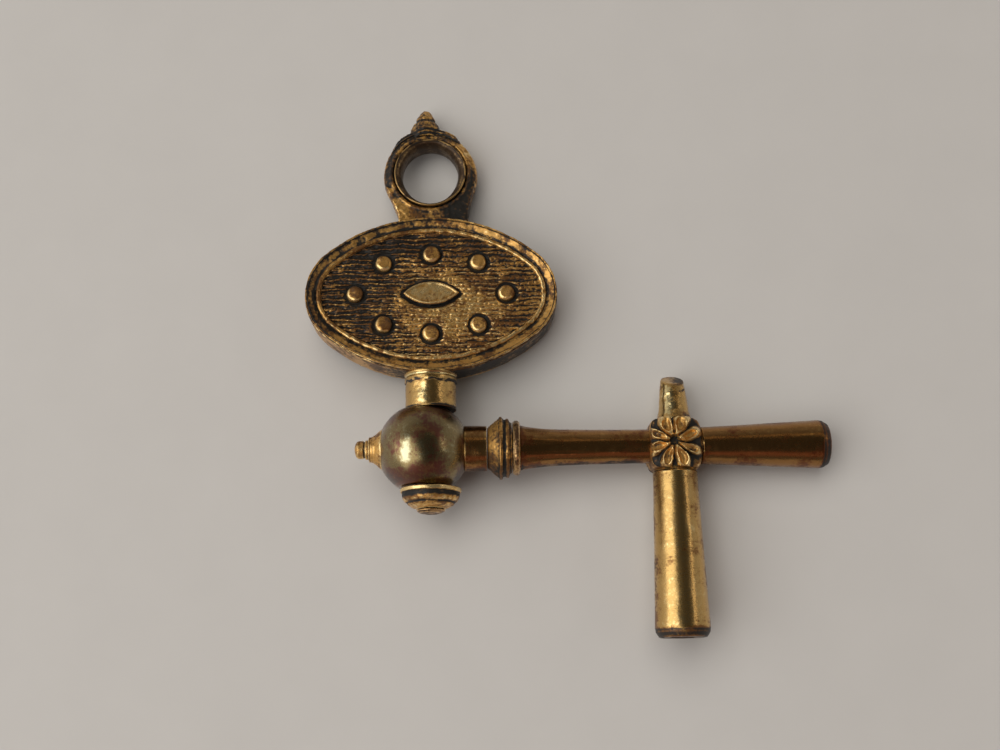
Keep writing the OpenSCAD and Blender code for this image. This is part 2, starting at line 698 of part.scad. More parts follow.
// Steel plug with a drilled and squared hole, pushed into a barrel flush with its mouth
module socket_shape(l, socket_r, socket_l, square_w, depth) {
  difference() {
    translate([0, 0, l - socket_l]) cylinder(r = socket_r, h = socket_l);
    translate([-square_w / 2, -square_w / 2, l - depth]) cube([square_w, square_w, depth + over]);
    translate([0, 0, l - socket_lead])
      cylinder(r1 = square_w / 2, r2 = square_w / 2 + 2 * socket_lead, h = 2 * socket_lead);
  }
}

module winding_barrel() {
  finish(gilt) on_wind() barrel_shape(wind_l, wind_root_r, wind_mouth_r, wind_socket_r, wind_socket_l);
}
module winding_socket() {
  finish(steel) on_wind() socket_shape(wind_l, wind_socket_r, wind_socket_l, wind_square, wind_depth);
}
module setting_barrel() {
  finish(gilt) on_arm(set_x) barrel_shape(set_l, set_root_r, set_mouth_r, set_socket_r, set_socket_l);
}
module setting_socket() {
  finish(steel) on_arm(set_x) socket_shape(set_l, set_socket_r, set_socket_l, set_square, set_depth);
}

case_band();
front_plate();
back_plate();
front_bezel();
back_bezel();
front_studs();
back_studs();
front_lozenge();
back_lozenge();
bow_ring();
bow_eyelet();
bow_finial();
neck_drum();
swivel_pin();
end_cap();
ball();
ball_knob();
arm_neck();
arm_flange();
arm_ring();
crank_arm();
hub();
front_rosette();
back_rosette();
hub_stub();
winding_barrel();
winding_socket();
setting_barrel();
setting_socket();
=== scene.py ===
import json
import math
import bmesh
import bpy
import numpy as np
from mathutils import Matrix, Vector, noise


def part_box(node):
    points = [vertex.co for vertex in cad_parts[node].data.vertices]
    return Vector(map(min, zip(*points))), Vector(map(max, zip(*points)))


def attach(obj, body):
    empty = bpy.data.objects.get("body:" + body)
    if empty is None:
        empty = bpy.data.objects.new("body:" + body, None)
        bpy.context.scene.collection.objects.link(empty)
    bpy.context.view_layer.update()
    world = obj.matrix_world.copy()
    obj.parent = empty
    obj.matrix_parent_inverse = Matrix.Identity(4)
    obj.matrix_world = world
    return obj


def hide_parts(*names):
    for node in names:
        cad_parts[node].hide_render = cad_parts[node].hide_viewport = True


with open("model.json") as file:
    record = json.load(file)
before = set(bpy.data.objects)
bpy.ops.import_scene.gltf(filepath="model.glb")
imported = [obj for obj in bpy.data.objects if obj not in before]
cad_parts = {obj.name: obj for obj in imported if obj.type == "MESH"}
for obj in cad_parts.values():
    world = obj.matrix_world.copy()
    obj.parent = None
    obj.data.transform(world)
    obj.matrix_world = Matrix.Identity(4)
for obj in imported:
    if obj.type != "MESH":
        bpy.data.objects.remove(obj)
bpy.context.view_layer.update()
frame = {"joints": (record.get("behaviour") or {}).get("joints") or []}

# Case band
# The wall of the medallion is a hoop of brass strip, bent to an oval of four arcs, soldered and gilt.
# Its edges were rounded with a file, and handling has left the wall softly uneven.
MM = 0.001
band_low, band_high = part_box("case_band")
case_middle = (band_low + band_high) / 2
case_place = Matrix.Translation(case_middle) @ Matrix.Scale(MM, 4)
case_half_w, case_half_h, strip_z = (band_high - band_low) / 2 / MM
end_r = 4.4
end_x = case_half_w - end_r
end_y = case_half_h - end_r
side_y = (end_x**2 - end_y**2) / (2 * end_y)
side_r = case_half_h + side_y
end_turn = math.atan2(side_y, end_x)
band_wall = 0.9
band_round = 0.12


def arc(x, z, rx, rz, start, end, steps):
    """Points of an elliptic arc about (x, z), from one angle in degrees to another."""
    turns = [math.radians(start + (end - start) * i / steps) for i in range(steps + 1)]
    return [(x + rx * math.cos(t), z + rz * math.sin(t)) for t in turns]


def spaced(points, gap):
    """The same outline with further points, so that no two lie further apart than the gap."""
    outline = [Vector(points[0])]
    for start, end in zip(points, points[1:]):
        parts = max(1, math.ceil(math.dist(start, end) / gap))
        outline += [Vector(start).lerp(Vector(end), i / parts) for i in range(1, parts + 1)]
    return outline


def draw(bm, points, closed=False):
    """Draws points of the XZ plane as a chain of edges, and gives back its vertices and edges."""
    verts = [bm.verts.new((x, 0, z)) for x, z in points]
    pairs = list(zip(verts, verts[1:]))
    if closed:
        pairs.append((verts[-1], verts[0]))
    return verts + [bm.edges.new(pair) for pair in pairs]


def sweep_round_case(bm, profile):
    """Carries a closed outline of (inset, height) points round the four arcs of the case."""
    side_turn = math.pi - 2 * end_turn
    stretches = [
        ((end_x, 0, 0), end_turn, 36),
        ((0, -side_y, 0), side_turn, 112),
        ((-end_x, 0, 0), 2 * end_turn, 72),
        ((0, side_y, 0), side_turn, 112),
        ((end_x, 0, 0), end_turn, 36),
    ]
    front = draw(bm, [(case_half_w - inset, z) for inset, z in profile], closed=True)
    for centre, turn, steps in stretches:
        swept = bmesh.ops.spin(bm, geom=front, cent=centre, axis=(0, 0, 1), angle=turn, steps=steps)
        front = swept["geom_last"]
    bmesh.ops.remove_doubles(bm, verts=bm.verts, dist=0.002)
    bmesh.ops.recalc_face_normals(bm, faces=bm.faces)


def wear_down(bm, depth, size, seed):
    """Takes up to that depth off the surface, in soft patches of that size."""
    bm.normal_update()
    shift = Vector((seed * 7.3, seed * 3.1, seed * 5.7))
    for vert in bm.verts:
        vert.co -= vert.normal * depth * (0.5 + 0.5 * noise.noise(vert.co / size + shift))


def linear(code):
    """An sRGB hex colour as a linear one."""
    shares = [int(code[i:i + 2], 16) / 255 for i in (1, 3, 5)]
    return [s / 12.92 if s < 0.04045 else ((s + 0.055) / 1.055) ** 2.4 for s in shares] + [1]


def fill(tree, made, links):
    """Sets or links the inputs of a shader node, by name or number."""
    for socket, value in links.items():
        if isinstance(value, bpy.types.NodeSocket):
            tree.links.new(value, made.inputs[socket])
        else:
            made.inputs[socket].default_value = value


def node(tree, kind, links, **settings):
    """Adds a shader node, sets its fields and fills its inputs."""
    made = tree.nodes.new("ShaderNode" + kind)
    for field, value in settings.items():
        setattr(made, field, value)
    fill(tree, made, links)
    return made


def aged_gilding(
    name, clean, rubbed, tarnish, grime_and_shade, patch, fleck, soil, brown, gloss, metal, film, grain, lines,
):
    """Old gilding: bright on rubbed edges and painted highlights, brown in patches, and black where dirt
    stays in the hollows and where shade is painted.

    patch and fleck are the sizes of its marks in mm, soil and brown are how much depth and tarnish
    it takes before they show, metal is how much of it is bare metal, film is how much old wax lies over it,
    grain is the depth of its tool marks in mm, and lines are their spacings along X, Y and Z.
    """
    finish = bpy.data.materials.new(name)
    finish.use_nodes = True
    tree = finish.node_tree
    spot = node(tree, "TexCoord", {}).outputs["Object"]
    hollow = node(tree, "Attribute", {}, attribute_name="hollow").outputs["Fac"]
    # The per-point value read here holds each piece's dirt and rubbing, and also its painted shade (above 0)
    # and painted highlights (below 0).
    dirt_and_light = node(tree, "Attribute", {}, attribute_name="dirt_and_light").outputs["Fac"]
    spacing = [1 / (step * MM) for step in lines]
    along = node(tree, "Mapping", {"Vector": spot, "Scale": spacing}).outputs[0]
    noises = []
    for place, scale, detail, rough in (
        (spot, 1 / (patch * MM), 4, 0.6), (spot, 1 / (fleck * MM), 5, 0.65), (along, 1, 3, 0.7),
    ):
        look = {"Vector": place, "Scale": scale, "Detail": detail, "Roughness": rough}
        noises.append(node(tree, "TexNoise", look).outputs["Fac"])
    patches, flecks, marks = noises
    broken = dirt_and_light
    for layer, share in ((hollow, 0.6), (flecks, 0.85), (patches, 0.6)):
        broken = node(tree, "Math", {0: layer, 1: share, 2: broken}, operation="MULTIPLY_ADD").outputs[0]
    mixed = patches
    for layer, share in ((flecks, 0.5), (marks, 0.3), (dirt_and_light, 0.3)):
        mixed = node(tree, "Math", {0: layer, 1: share, 2: mixed}, operation="MULTIPLY_ADD").outputs[0]
    shares = []
    for value, low, high in (
        (broken, 0.66 + soil, 1.12 + soil), (broken, 0.64, 0.3), (mixed, brown + 0.12, brown + 0.3),
    ):
        reach = {"Value": value, "From Min": low, "From Max": high}
        shares.append(node(tree, "MapRange", reach, interpolation_type="SMOOTHSTEP").outputs[0])
    # The grime colour also paints the painted shade, and the rubbed colour also paints the painted
    # highlights.
    dirt_and_shade_share, wear_and_highlight, dull = shares
    gold = linear(clean)
    for share, colour in ((dull, tarnish), (wear_and_highlight, rubbed), (dirt_and_shade_share, grime_and_shade)):
        gold = node(tree, "Mix", {0: share, 6: gold, 7: linear(colour)}, data_type="RGBA").outputs[2]
    bare = node(tree, "MapRange", {"Value": dirt_and_shade_share, "To Min": metal, "To Max": 0.1}).outputs[0]
    rough = node(tree, "MapRange", {"Value": dull, "To Min": gloss, "To Max": gloss + 0.12}).outputs[0]
    for layer, share in ((wear_and_highlight, -0.1), (dirt_and_shade_share, 0.25)):
        rough = node(tree, "Math", {0: layer, 1: share, 2: rough}, operation="MULTIPLY_ADD").outputs[0]
    scored = node(tree, "Math", {0: marks, 1: 0.6, 2: flecks}, operation="MULTIPLY_ADD").outputs[0]
    skin = node(tree, "Bump", {"Height": scored, "Strength": 0.4, "Distance": grain * MM}).outputs[0]
    fill(tree, tree.nodes["Principled BSDF"], {
        "Base Color": gold, "Metallic": bare, "Roughness": rough, "Normal": skin,
        "Coat Weight": film, "Coat Roughness": 0.3,
    })
    return finish


def soil(bm, rule):
    """Stores the extra dirt at each point of a mesh, from a rule on its place; below 0 it is rubbed clean.
    Some rules also store painted shade there (above 0) and painted highlights (below 0).
    """
    layer = bm.verts.layers.float.new("dirt_and_light")
    for vert in bm.verts:
        vert[layer] = rule(vert.co)


def ease(value, low, high):
    """0 below low, 1 above high and a smooth step between."""
    share = min(1, max(0, (value - low) / (high - low)))
    return share * share * (3 - 2 * share)


def mark_hollows(mesh, rounds):
    """Stores each point's depth below its surroundings in steps of 0.05 mm; raised points are negative."""
    count = len(mesh.vertices)
    points = np.empty(count * 3)
    mesh.vertices.foreach_get("co", points)
    points = points.reshape(-1, 3)
    normals = np.empty(count * 3)
    mesh.vertex_normals.foreach_get("vector", normals)
    edges = np.empty(len(mesh.edges) * 2, int)
    mesh.edges.foreach_get("vertices", edges)
    starts, ends = edges.reshape(-1, 2).T
    neighbours = np.bincount(edges, minlength=count)
    smooth = points.copy()
    for _ in range(rounds):
        for axis in range(3):
            near = np.bincount(starts, smooth[ends, axis], count)
            near += np.bincount(ends, smooth[starts, axis], count)
            smooth[:, axis] = (smooth[:, axis] + near / neighbours) / 2
    depth = ((smooth - points) * normals.reshape(-1, 3)).sum(1) / (0.05 * MM)
    mesh.attributes.new("hollow", "FLOAT", "POINT").data.foreach_set("value", np.clip(depth, -1, 1))


def put_in_scene(name, data):
    """Adds an object with that mesh, lens or light to the scene."""
    added = bpy.data.objects.new(name, data)
    bpy.context.scene.collection.objects.link(added)
    return added


def finish_piece(node_name, bm, place, finish, rounds, body):
    """Puts a mesh in its place in the frame for the CAD node of that name, in its finish and on its body."""
    bmesh.ops.transform(bm, matrix=place, verts=bm.verts)
    bmesh.ops.recalc_face_normals(bm, faces=bm.faces)
    mesh = bpy.data.meshes.new(node_name + "_shaped")
    bm.to_mesh(mesh)
    bm.free()
    mesh.shade_smooth()
    mark_hollows(mesh, rounds)
    mesh.materials.append(finish)
    piece = put_in_scene(node_name + "_shaped", mesh)
    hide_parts(node_name)
    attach(piece, body)
    return piece


# Fire gilding on cast and soldered brass, a century old: a warm yellow on what the hand rubs,
# brown where the gilding is thin, and a black crust in every hollow.
old_gilding = aged_gilding(
    "fire-gilt brass with black patina",
    clean="#d4a359", rubbed="#f4d494", tarnish="#815930", grime_and_shade="#15120d",
    patch=1.7, fleck=0.28,
    soil=0.06, brown=0.72, gloss=0.36, metal=0.87, film=0.2, grain=0.05, lines=(0.5, 0.2, 0.5),
)
bm = bmesh.new()
lower_edge = arc(band_round, band_round - strip_z, band_round, band_round, 270, 180, 6)
upper_edge = arc(band_round, strip_z - band_round, band_round, band_round, 180, 90, 6)
sweep_round_case(bm, [(band_wall, -strip_z)] + spaced(lower_edge + upper_edge, 0.15) + [(band_wall, strip_z)])
wear_down(bm, 0.05, 1.3, 1)
wear_down(bm, 0.025, 0.35, 2)
# Painted shade: the wall is darkened to stand in for the shaded floor it mirrors, except towards its left
# end.
soil(bm, lambda spot: 0.44 - 0.32 * ease(-spot.x, 2.5, 5))
finish_piece("case_band", bm, case_place, old_gilding, 12, "handle")

# Front and back plates
# Each face of the case is a thin brass plate whose ground was ribbed by hand with a graver before gilding.
# The cuts wander and vary in depth, and they are rubbed almost flat round the middle.
rib_pitch = 0.42
rib_depth = 0.22
plate_inset = 1.36
blank_inset = 1.2
both_faces = (("front", 1), ("back", -1))
plate_top = strip_z + 0.12
plate_bottom = strip_z - 0.15
stud_r = 0.75
stud_corner = (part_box("front_studs")[1] - case_middle) / MM
stud_ring_x, stud_ring_y, stud_top = stud_corner - Vector((stud_r, stud_r, 0))
stud_angle = math.radians(51)
stud_slant = Vector((stud_ring_x * math.cos(stud_angle), stud_ring_y * math.sin(stud_angle)))
stud_places = [Vector((stud_ring_x * side, 0)) for side in (-1, 1)]
stud_places += [Vector((0, stud_ring_y * side)) for side in (-1, 1)]
stud_places += [Vector((stud_slant.x * a, stud_slant.y * b)) for a in (-1, 1) for b in (-1, 1)]
lozenge_half_l = 2.3
lozenge_half_w = 1.0
lozenge_arc_r = (lozenge_half_l**2 + lozenge_half_w**2) / (2 * lozenge_half_w)


def bump(distance, width):
    """A round bump of height 1 that fades over that width."""
    return math.exp(-((distance / width) ** 2))


def nearest_arc(x, y):
    """The centre and radius of the arc of the case that lies nearest a point in its plane."""
    turn = abs(math.atan2(y, abs(x) - end_x))
    if turn < end_turn:
        return Vector((math.copysign(end_x, x), 0)), end_r
    return Vector((0, math.copysign(side_y, -y))), side_r


def rubbed_share(x, y):
    """How far handling has rubbed the ground at a point, from 0 to 1: most below and right of the middle."""
    return bump(math.hypot((x - 1.6) / 4.4, (y + 1.2) / 2.3), 1)


def rib_height(x, y, seed):
    """Height of the ribbed ground, from 0 at the foot of a cut to 1."""
    wander = 0.16 * noise.noise((x / 1.5, y / 0.6, seed)) + 0.06 * noise.noise((x / 0.35, y / 0.25, seed + 9))
    row = (y + wander) / rib_pitch
    cut = min(1, max(0.05, 0.72 + 0.9 * noise.noise((x / 0.9, round(row) * 3.7, seed + 20))))
    ridge = (0.5 + 0.5 * math.cos(2 * math.pi * row)) ** (0.8 + 1.4 * ease(-x, -2, 5))
    scratches = 0.35 * max(0, noise.noise((x / 0.8, y / 0.09, seed + 60)))
    pits = 0.7 * max(0, noise.noise((x / 0.17, y / 0.14, seed + 40)) - 0.12)
    return max(0, 1 - cut * (1 - 0.75 * rubbed_share(x, y)) * (1 - ridge) - pits - scratches)


def moat_share(x, y):
    """1 in the black gap round the lozenge and the studs, and 0 away from them."""
    lozenge_gap = math.hypot(x, abs(y) + lozenge_arc_r - lozenge_half_w) - lozenge_arc_r
    stud_gap = min((Vector((x, y)) - place).length for place in stud_places) - stud_r
    return max(0.9 * bump(max(0, lozenge_gap - 0.05), 0.16), bump(max(0, stud_gap - 0.03), 0.15))


def plate_dirt_and_shade(spot):
    """Extra darkening on a plate: black in the gaps, which is patina deepened by painted shade, and dirt on
    the left, the top and the far right of the ribbed ground.
    """
    x, y, _ = spot
    ground = 0.24 * ease(-x, 0.5, 4.5) + 0.2 * ease(y, 1.6, 3.8) + 0.16 * ease(x, 5.2, 7.5)
    # The gaps get black patina, deepened by painted shade that hides the glints their slopes would catch.
    return ground + 0.15 - 0.3 * rubbed_share(x, y) + 0.9 * moat_share(x, y)


def points_of(parts):
    """The vertices among what an operator made."""
    return [part for part in parts if isinstance(part, bmesh.types.BMVert)]


def close_below(bm, level):
    """Drops the rim of a raised sheet to a flat bottom at that height and closes it."""
    rim = [edge for edge in bm.edges if edge.is_boundary]
    skirt = bmesh.ops.extrude_edge_only(bm, edges=rim)["geom"]
    for vert in points_of(skirt):
        vert.co.z = level
    bmesh.ops.holes_fill(bm, edges=[edge for edge in bm.edges if edge.is_boundary], sides=0)


def turned_over(face):
    """The place of a piece on the front of the case (1), or the same on its back (-1)."""
    return case_place @ Matrix.Diagonal((1, 1, face, 1))


for face, side in both_faces:
    bm = bmesh.new()
    bmesh.ops.create_grid(bm, x_segments=220, y_segments=250, size=1)
    bmesh.ops.scale(bm, vec=(case_half_w - blank_inset, case_half_h - blank_inset, 1), verts=bm.verts)
    for vert in bm.verts:
        centre, radius = nearest_arc(vert.co.x, vert.co.y)
        ray = vert.co.to_2d() - centre
        vert.tag = ray.length > radius - plate_inset
    outside = [part for part in bm.faces if all(vert.tag for vert in part.verts)]
    bmesh.ops.delete(bm, geom=outside, context="FACES")
    for vert in bm.verts:
        x, y, _ = vert.co
        if vert.tag:
            centre, radius = nearest_arc(x, y)
            ray = vert.co.to_2d() - centre
            vert.co.xy = centre + ray.normalized() * (radius - plate_inset)
        moat = moat_share(x, y)
        vert.co.z = plate_top - rib_depth * ((1 - rib_height(x, y, side)) * (1 - moat) + moat)
    bmesh.ops.remove_doubles(bm, verts=bm.verts, dist=0.004)
    close_below(bm, plate_bottom)
    soil(bm, plate_dirt_and_shade)
    finish_piece(face + "_plate", bm, turned_over(side), old_gilding, 10, "handle")

# Front and back bezels
# A moulded brass frame is soldered over the rim of each plate: a broad outer bead, a hollow and a narrow
# inner bead. The beads are nicked and flattened where the key has lain and been held.
bezel_top = (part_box("front_bezel")[1].z - case_middle.z) / MM
bezel_w = 1.46
inner_crest = 1.13
groove_middle = 0.82
inner_bead = arc(inner_crest, strip_z + 0.08, bezel_w - inner_crest - 0.06, 0.26, 0, 180, 14)
rim_slope = [(groove_middle, strip_z + 0.1), (0.5, strip_z + 0.25), (0.26, bezel_top - 0.06)]
outer_rim = arc(0.15, bezel_top - 0.12, 0.13, 0.11, 30, 180, 9)
bezel_foot = [(0.02, strip_z - 0.06), (0.3, strip_z - 0.06)]
bezel_outline = [(bezel_w, strip_z)] + inner_bead + rim_slope + outer_rim + bezel_foot


def groove_fill(spot):
    """How far old solder fills the bezel's groove: on the upper left, and in patches elsewhere."""
    corner = ease(0.75 * spot.y - 0.5 * spot.x, 3.5, 7)
    patches = 0.5 * noise.noise(spot / 1.3 + Vector((9, 4, 2)))
    return min(1, max(0, corner * (0.75 + noise.noise(spot / 0.9)) + patches - 0.1))


def inset_at(spot):
    """How far inside the edge of the case a point lies."""
    centre, radius = nearest_arc(spot.x, spot.y)
    return radius - (spot.to_2d() - centre).length


def bezel_dirt(spot):
    """Extra dirt on a bezel: black in its groove and at its inner foot, brown on the upper left."""
    broken = 0.7 + 1.2 * noise.noise(spot / 0.7 + Vector((3, 8, 1)))
    groove = broken * bump(inset_at(spot) - groove_middle, 0.13) * (1 - 0.6 * groove_fill(spot))
    foot = bump(inset_at(spot) - bezel_w, 0.12)
    return 0.2 * groove + 0.3 * foot + 0.18 * ease(0.55 * spot.y - 0.6 * spot.x, 1, 5) - 0.06


for face, side in both_faces:
    bm = bmesh.new()
    sweep_round_case(bm, spaced(bezel_outline, 0.08))
    for vert in bm.verts:
        hole = strip_z + 0.3 - vert.co.z
        if 0 < hole < 0.26 and 0.4 < inset_at(vert.co) < 1.1:
            vert.co.z += 0.8 * hole * groove_fill(vert.co)
    wear_down(bm, 0.06, 1.6, side + 5)
    wear_down(bm, 0.07, 0.4, side + 8)
    wear_down(bm, 0.05, 0.2, side + 9)
    soil(bm, bezel_dirt)
    finish_piece(face + "_bezel", bm, turned_over(side), old_gilding, 14, "handle")

# Front and back studs
# Eight brass rivets stand on each plate, with heads filed flat on top and rounded at the edge.
# No two were filed quite alike.
hand_seed = 5

# noise_vector draws a new offset in each run unless it is seeded.
noise.seed_set(hand_seed)


def turn(bm, profile, steps=96, closed=False):
    """Turns an outline of (radius, height) points about Z, as on a lathe, and closes its seam and poles."""
    chain = draw(bm, profile, closed)
    bmesh.ops.spin(
        bm, geom=chain, cent=(0, 0, 0), axis=(0, 0, 1), angle=2 * math.pi, steps=steps, use_merge=True,
    )
    bmesh.ops.remove_doubles(bm, verts=bm.verts, dist=0.001)
    bmesh.ops.recalc_face_normals(bm, faces=bm.faces)


def join(bm, part):
    """Adds a mesh that was made by itself to another one."""
    loose = bpy.data.meshes.new("loose")
    part.to_mesh(loose)
    part.free()
    bm.from_mesh(loose)
    bpy.data.meshes.remove(loose)


def stud_dirt_and_light(spot):
    """Extra dirt on a stud round its foot, with painted shade on its upper right and a painted highlight on
    the lower-left edge of its head.
    """
    aside = min((spot.to_2d() - place for place in stud_places), key=lambda gap: gap.length)
    # Painted light: the edge of each head is lit on its lower left and shaded on its upper right.
    edge = ease(aside.length, 0.4, 0.58)
    shade = ease(aside.x + aside.y, -0.5, 0.5)
    return 0.5 * ease(stud_top - spot.z, 0.26, 0.45) + edge * (0.65 * shade - 0.5) + 0.1


for face, side in both_faces:
    bm = bmesh.new()
    for number, place in enumerate(stud_places):
        lean = noise.noise_vector((number * 2.7, side * 4.1, 0.5))
        radius = stud_r - 0.03 + 0.03 * lean.x
        height = stud_top - 0.03 + 0.03 * lean.y
        shoulder = arc(0.34, height - 0.38, radius - 0.34, 0.38, 0, 88, 12)
        outline = [(0, plate_bottom), (radius * 0.98, plate_bottom), (radius, strip_z + 0.05)] + shoulder
        outline = spaced(outline + [(0, height)], 0.08)
        stud = bmesh.new()
        turn(stud, outline, steps=48)
        tilt = Matrix.Rotation(0.06 * lean.z, 4, "X") @ Matrix.Rotation(0.06 * lean.x, 4, "Y")
        bmesh.ops.transform(stud, matrix=Matrix.Translation(place.to_3d()) @ tilt, verts=stud.verts)
        join(bm, stud)
    wear_down(bm, 0.1, 0.5, side + 11)
    soil(bm, stud_dirt_and_light)
    finish_piece(face + "_studs", bm, turned_over(side), old_gilding, 8, "handle")

# Front and back lozenges
# A pointed boss of sheet brass is soldered to the middle of each plate, its edges filed to a bevel.
# Its top is slightly dished and rubbed bright.
lozenge_top = (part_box("front_lozenge")[1].z - case_middle.z) / MM
for face, side in both_faces:
    bm = bmesh.new()
    bmesh.ops.create_grid(bm, x_segments=72, y_segments=32, size=1)
    for vert in bm.verts:
        u, v, _ = vert.co
        x = lozenge_half_l * math.sin(u * math.pi / 2)
        half = math.sqrt(lozenge_arc_r**2 - x * x) - lozenge_arc_r + lozenge_half_w
        y = half * math.sin(v * math.pi / 2)
        margin = lozenge_arc_r - math.hypot(x, abs(y) + lozenge_arc_r - lozenge_half_w)
        dish = 0.06 * ease(margin, 0.14, 0.32)
        vert.co = (x, y, lozenge_top - 0.2 + 0.2 * ease(margin, -0.02, 0.15) - dish)
    bmesh.ops.remove_doubles(bm, verts=bm.verts, dist=0.002)
    close_below(bm, plate_bottom)
    wear_down(bm, 0.04, 0.5, side + 14)
    soil(bm, lambda spot: 1.6 * ease(lozenge_top - spot.z, 0.12, 0.21) - 0.3)
    finish_piece(face + "_lozenge", bm, turned_over(side), old_gilding, 8, "handle")

# Bow ring
# The loop at the top is a casting: a ring with a bead round its face and a flat foot that saddles the case.
# The hollow beside the bead is black, and the foot's face still shows gilding.
eyelet_low, eyelet_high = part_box("bow_eyelet")
bow_middle = (eyelet_low + eyelet_high) / 2
bow_place = Matrix.Translation(bow_middle) @ Matrix.Scale(MM, 4)
ring_low, ring_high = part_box("bow_ring")
ring_half_t = (ring_high.z - ring_low.z) / 2 / MM
ring_r = (ring_high.y - bow_middle.y) / MM
ring_bore = 2.62
case_drop = (bow_middle.y - band_high.y) / MM
foot_half_t = ring_half_t - 0.08


def soften(bm, rounds):
    """Rounds off every edge and takes off single points that stand out."""
    for _ in range(rounds):
        bmesh.ops.smooth_vert(
            bm, verts=bm.verts, factor=0.5, use_axis_x=True, use_axis_y=True, use_axis_z=True,
        )


def fuse(bm, voxel):
    """Makes one skin over solids that run into each other, as in a casting."""
    mesh = bpy.data.meshes.new("fused")
    bm.to_mesh(mesh)
    blank = put_in_scene("fused", mesh)
    skin = blank.modifiers.new("skin", "REMESH")
    skin.mode = "VOXEL"
    skin.voxel_size = voxel
    fused = bpy.data.meshes.new_from_object(blank.evaluated_get(bpy.context.evaluated_depsgraph_get()))
    bm.clear()
    bm.from_mesh(fused)
    bpy.data.objects.remove(blank)
    bpy.data.meshes.remove(mesh)
    bpy.data.meshes.remove(fused)
    soften(bm, 3)


def case_edge(x):
    """How far below the loop's middle the top of the case lies, at that distance from its centre line."""
    return -case_drop - side_r + math.sqrt(side_r**2 - x * x)


bm = bmesh.new()
face_bead = arc(3.22, 0.7, 0.3, ring_half_t - 0.69, 180, 30, 12)
outer_r = ring_r + 0.1
half_ring = [(ring_bore, 0.7), (2.9, 0.74)] + face_bead + [(outer_r - 0.14, 0.68), (outer_r - 0.02, 0.3)]
turn(bm, half_ring + [(outer_r, 0)] + [(r, -z) for r, z in reversed(half_ring)], steps=120, closed=True)
foot_right = [(3.75, -1.0), (3.6, -1.4), (3.42, -2.1), (3.26, -2.9), (3.16, -3.5), (3.16, case_edge(3.16))]
foot_left = [(-3.75, -1.0), (-3.46, -1.65), (-3.12, -2.5), (-2.8, -3.3), (-2.7, -3.6)]
foot_left.append((-2.68, case_edge(2.68)))
foot_base = [(x * 0.5, case_edge(x * 0.5) - 0.15) for x in range(6, -6, -1)]
foot_arch = [(x, -z) for x, z in arc(0, 0, 3.05, 3.05, 154, 26, 12)]
foot_outline = foot_right + foot_base + foot_left[::-1] + foot_arch
foot = bmesh.new()
face = foot.faces.new([foot.verts.new((x, y, -foot_half_t)) for x, y in foot_outline])
lifted = bmesh.ops.extrude_face_region(foot, geom=[face])["geom"]
bmesh.ops.translate(foot, vec=(0, 0, 2 * foot_half_t), verts=points_of(lifted))
bmesh.ops.recalc_face_normals(foot, faces=foot.faces)
rims = [edge for edge in foot.edges if abs(edge.verts[0].co.z - edge.verts[1].co.z) < 0.01]
bmesh.ops.bevel(foot, geom=rims, offset=0.2, affect="EDGES", segments=4, profile=0.5, material=-1)
join(bm, foot)
fuse(bm, 0.055)
wear_down(bm, 0.07, 0.9, 21)
wear_down(bm, 0.08, 0.25, 22)
soften(bm, 2)


def bow_dirt_and_glints(spot):
    """Extra darkening on the bow: dirt on the ring's faces, darker at the right of the foot than at its left,
    and painted glints on the ring's outer edge.
    """
    foot_share = ease(-spot.y, 1.8, 3.2)
    # Painted glints: a broad bright patch and two small ones on the ring's outer edge at the upper right, and
    # one at the lower left.
    gilt = 0.3 * bump(math.hypot(spot.x - 3.1, spot.y - 1.6), 1.3)
    glints = ((2.7, 2.6), (3.1, 1.7), (-3.3, -1.6))
    gilt += 0.5 * max(bump(math.hypot(spot.x - x, spot.y - y), 0.35) for x, y in glints)
    face = 0.18 + 0.24 * ease(abs(spot.z), 0.4, 0.8)
    foot_face = 0.2 + 0.3 * ease(spot.x, 0.4, 2.0) - 0.2 * ease(-spot.x, 0.6, 2.0)
    return face * (1 - foot_share) - gilt + foot_share * foot_face


soil(bm, bow_dirt_and_glints)
finish_piece("bow_ring", bm, bow_place, old_gilding, 16, "handle")

# Bow eyelet
# A brass tube lines the loop's hole and opens like a funnel to a narrow bright lip at both ends.
# Its wall is a dark olive brown.
eye_r = 2.28
lip_r = 2.87
lip_z = (eyelet_high.z - bow_middle.z) / MM
funnel = arc(lip_r - 0.09, 0.22, lip_r - 0.09 - eye_r, lip_z - 0.29, 180, 90, 10)
lip = arc(lip_r, lip_z - 0.1, 0.1, 0.1, 150, 0, 7)
half_eyelet = [(eye_r, 0)] + funnel + lip + [(lip_r + 0.09, 0.9), (2.66, 0.8), (2.66, 0)]
# Brass in a dark olive brown with a dull sheen, and gold on its lip.
dark_brass = aged_gilding(
    "dark olive brass", clean="#6d5840", rubbed="#bd9a62", tarnish="#4b3a2a", grime_and_shade="#17130e",
    patch=1.2, fleck=0.22,
    soil=0.12, brown=0.66, gloss=0.38, metal=0.85, film=0.15, grain=0.04, lines=(0.4, 0.4, 0.2),
)
bm = bmesh.new()
turn(bm, spaced(half_eyelet + [(r, -z) for r, z in reversed(half_eyelet[1:-1])], 0.1), steps=120, closed=True)
for vert in bm.verts:
    x, y, z = vert.co
    reach = math.hypot(x, y)
    stretch = (0.14 if y > 0 else 0.3) * (1 - ease(reach, eye_r, lip_r)) * (y / reach) ** 2
    vert.co.y += math.copysign(stretch, y)
wear_down(bm, 0.05, 0.6, 24)


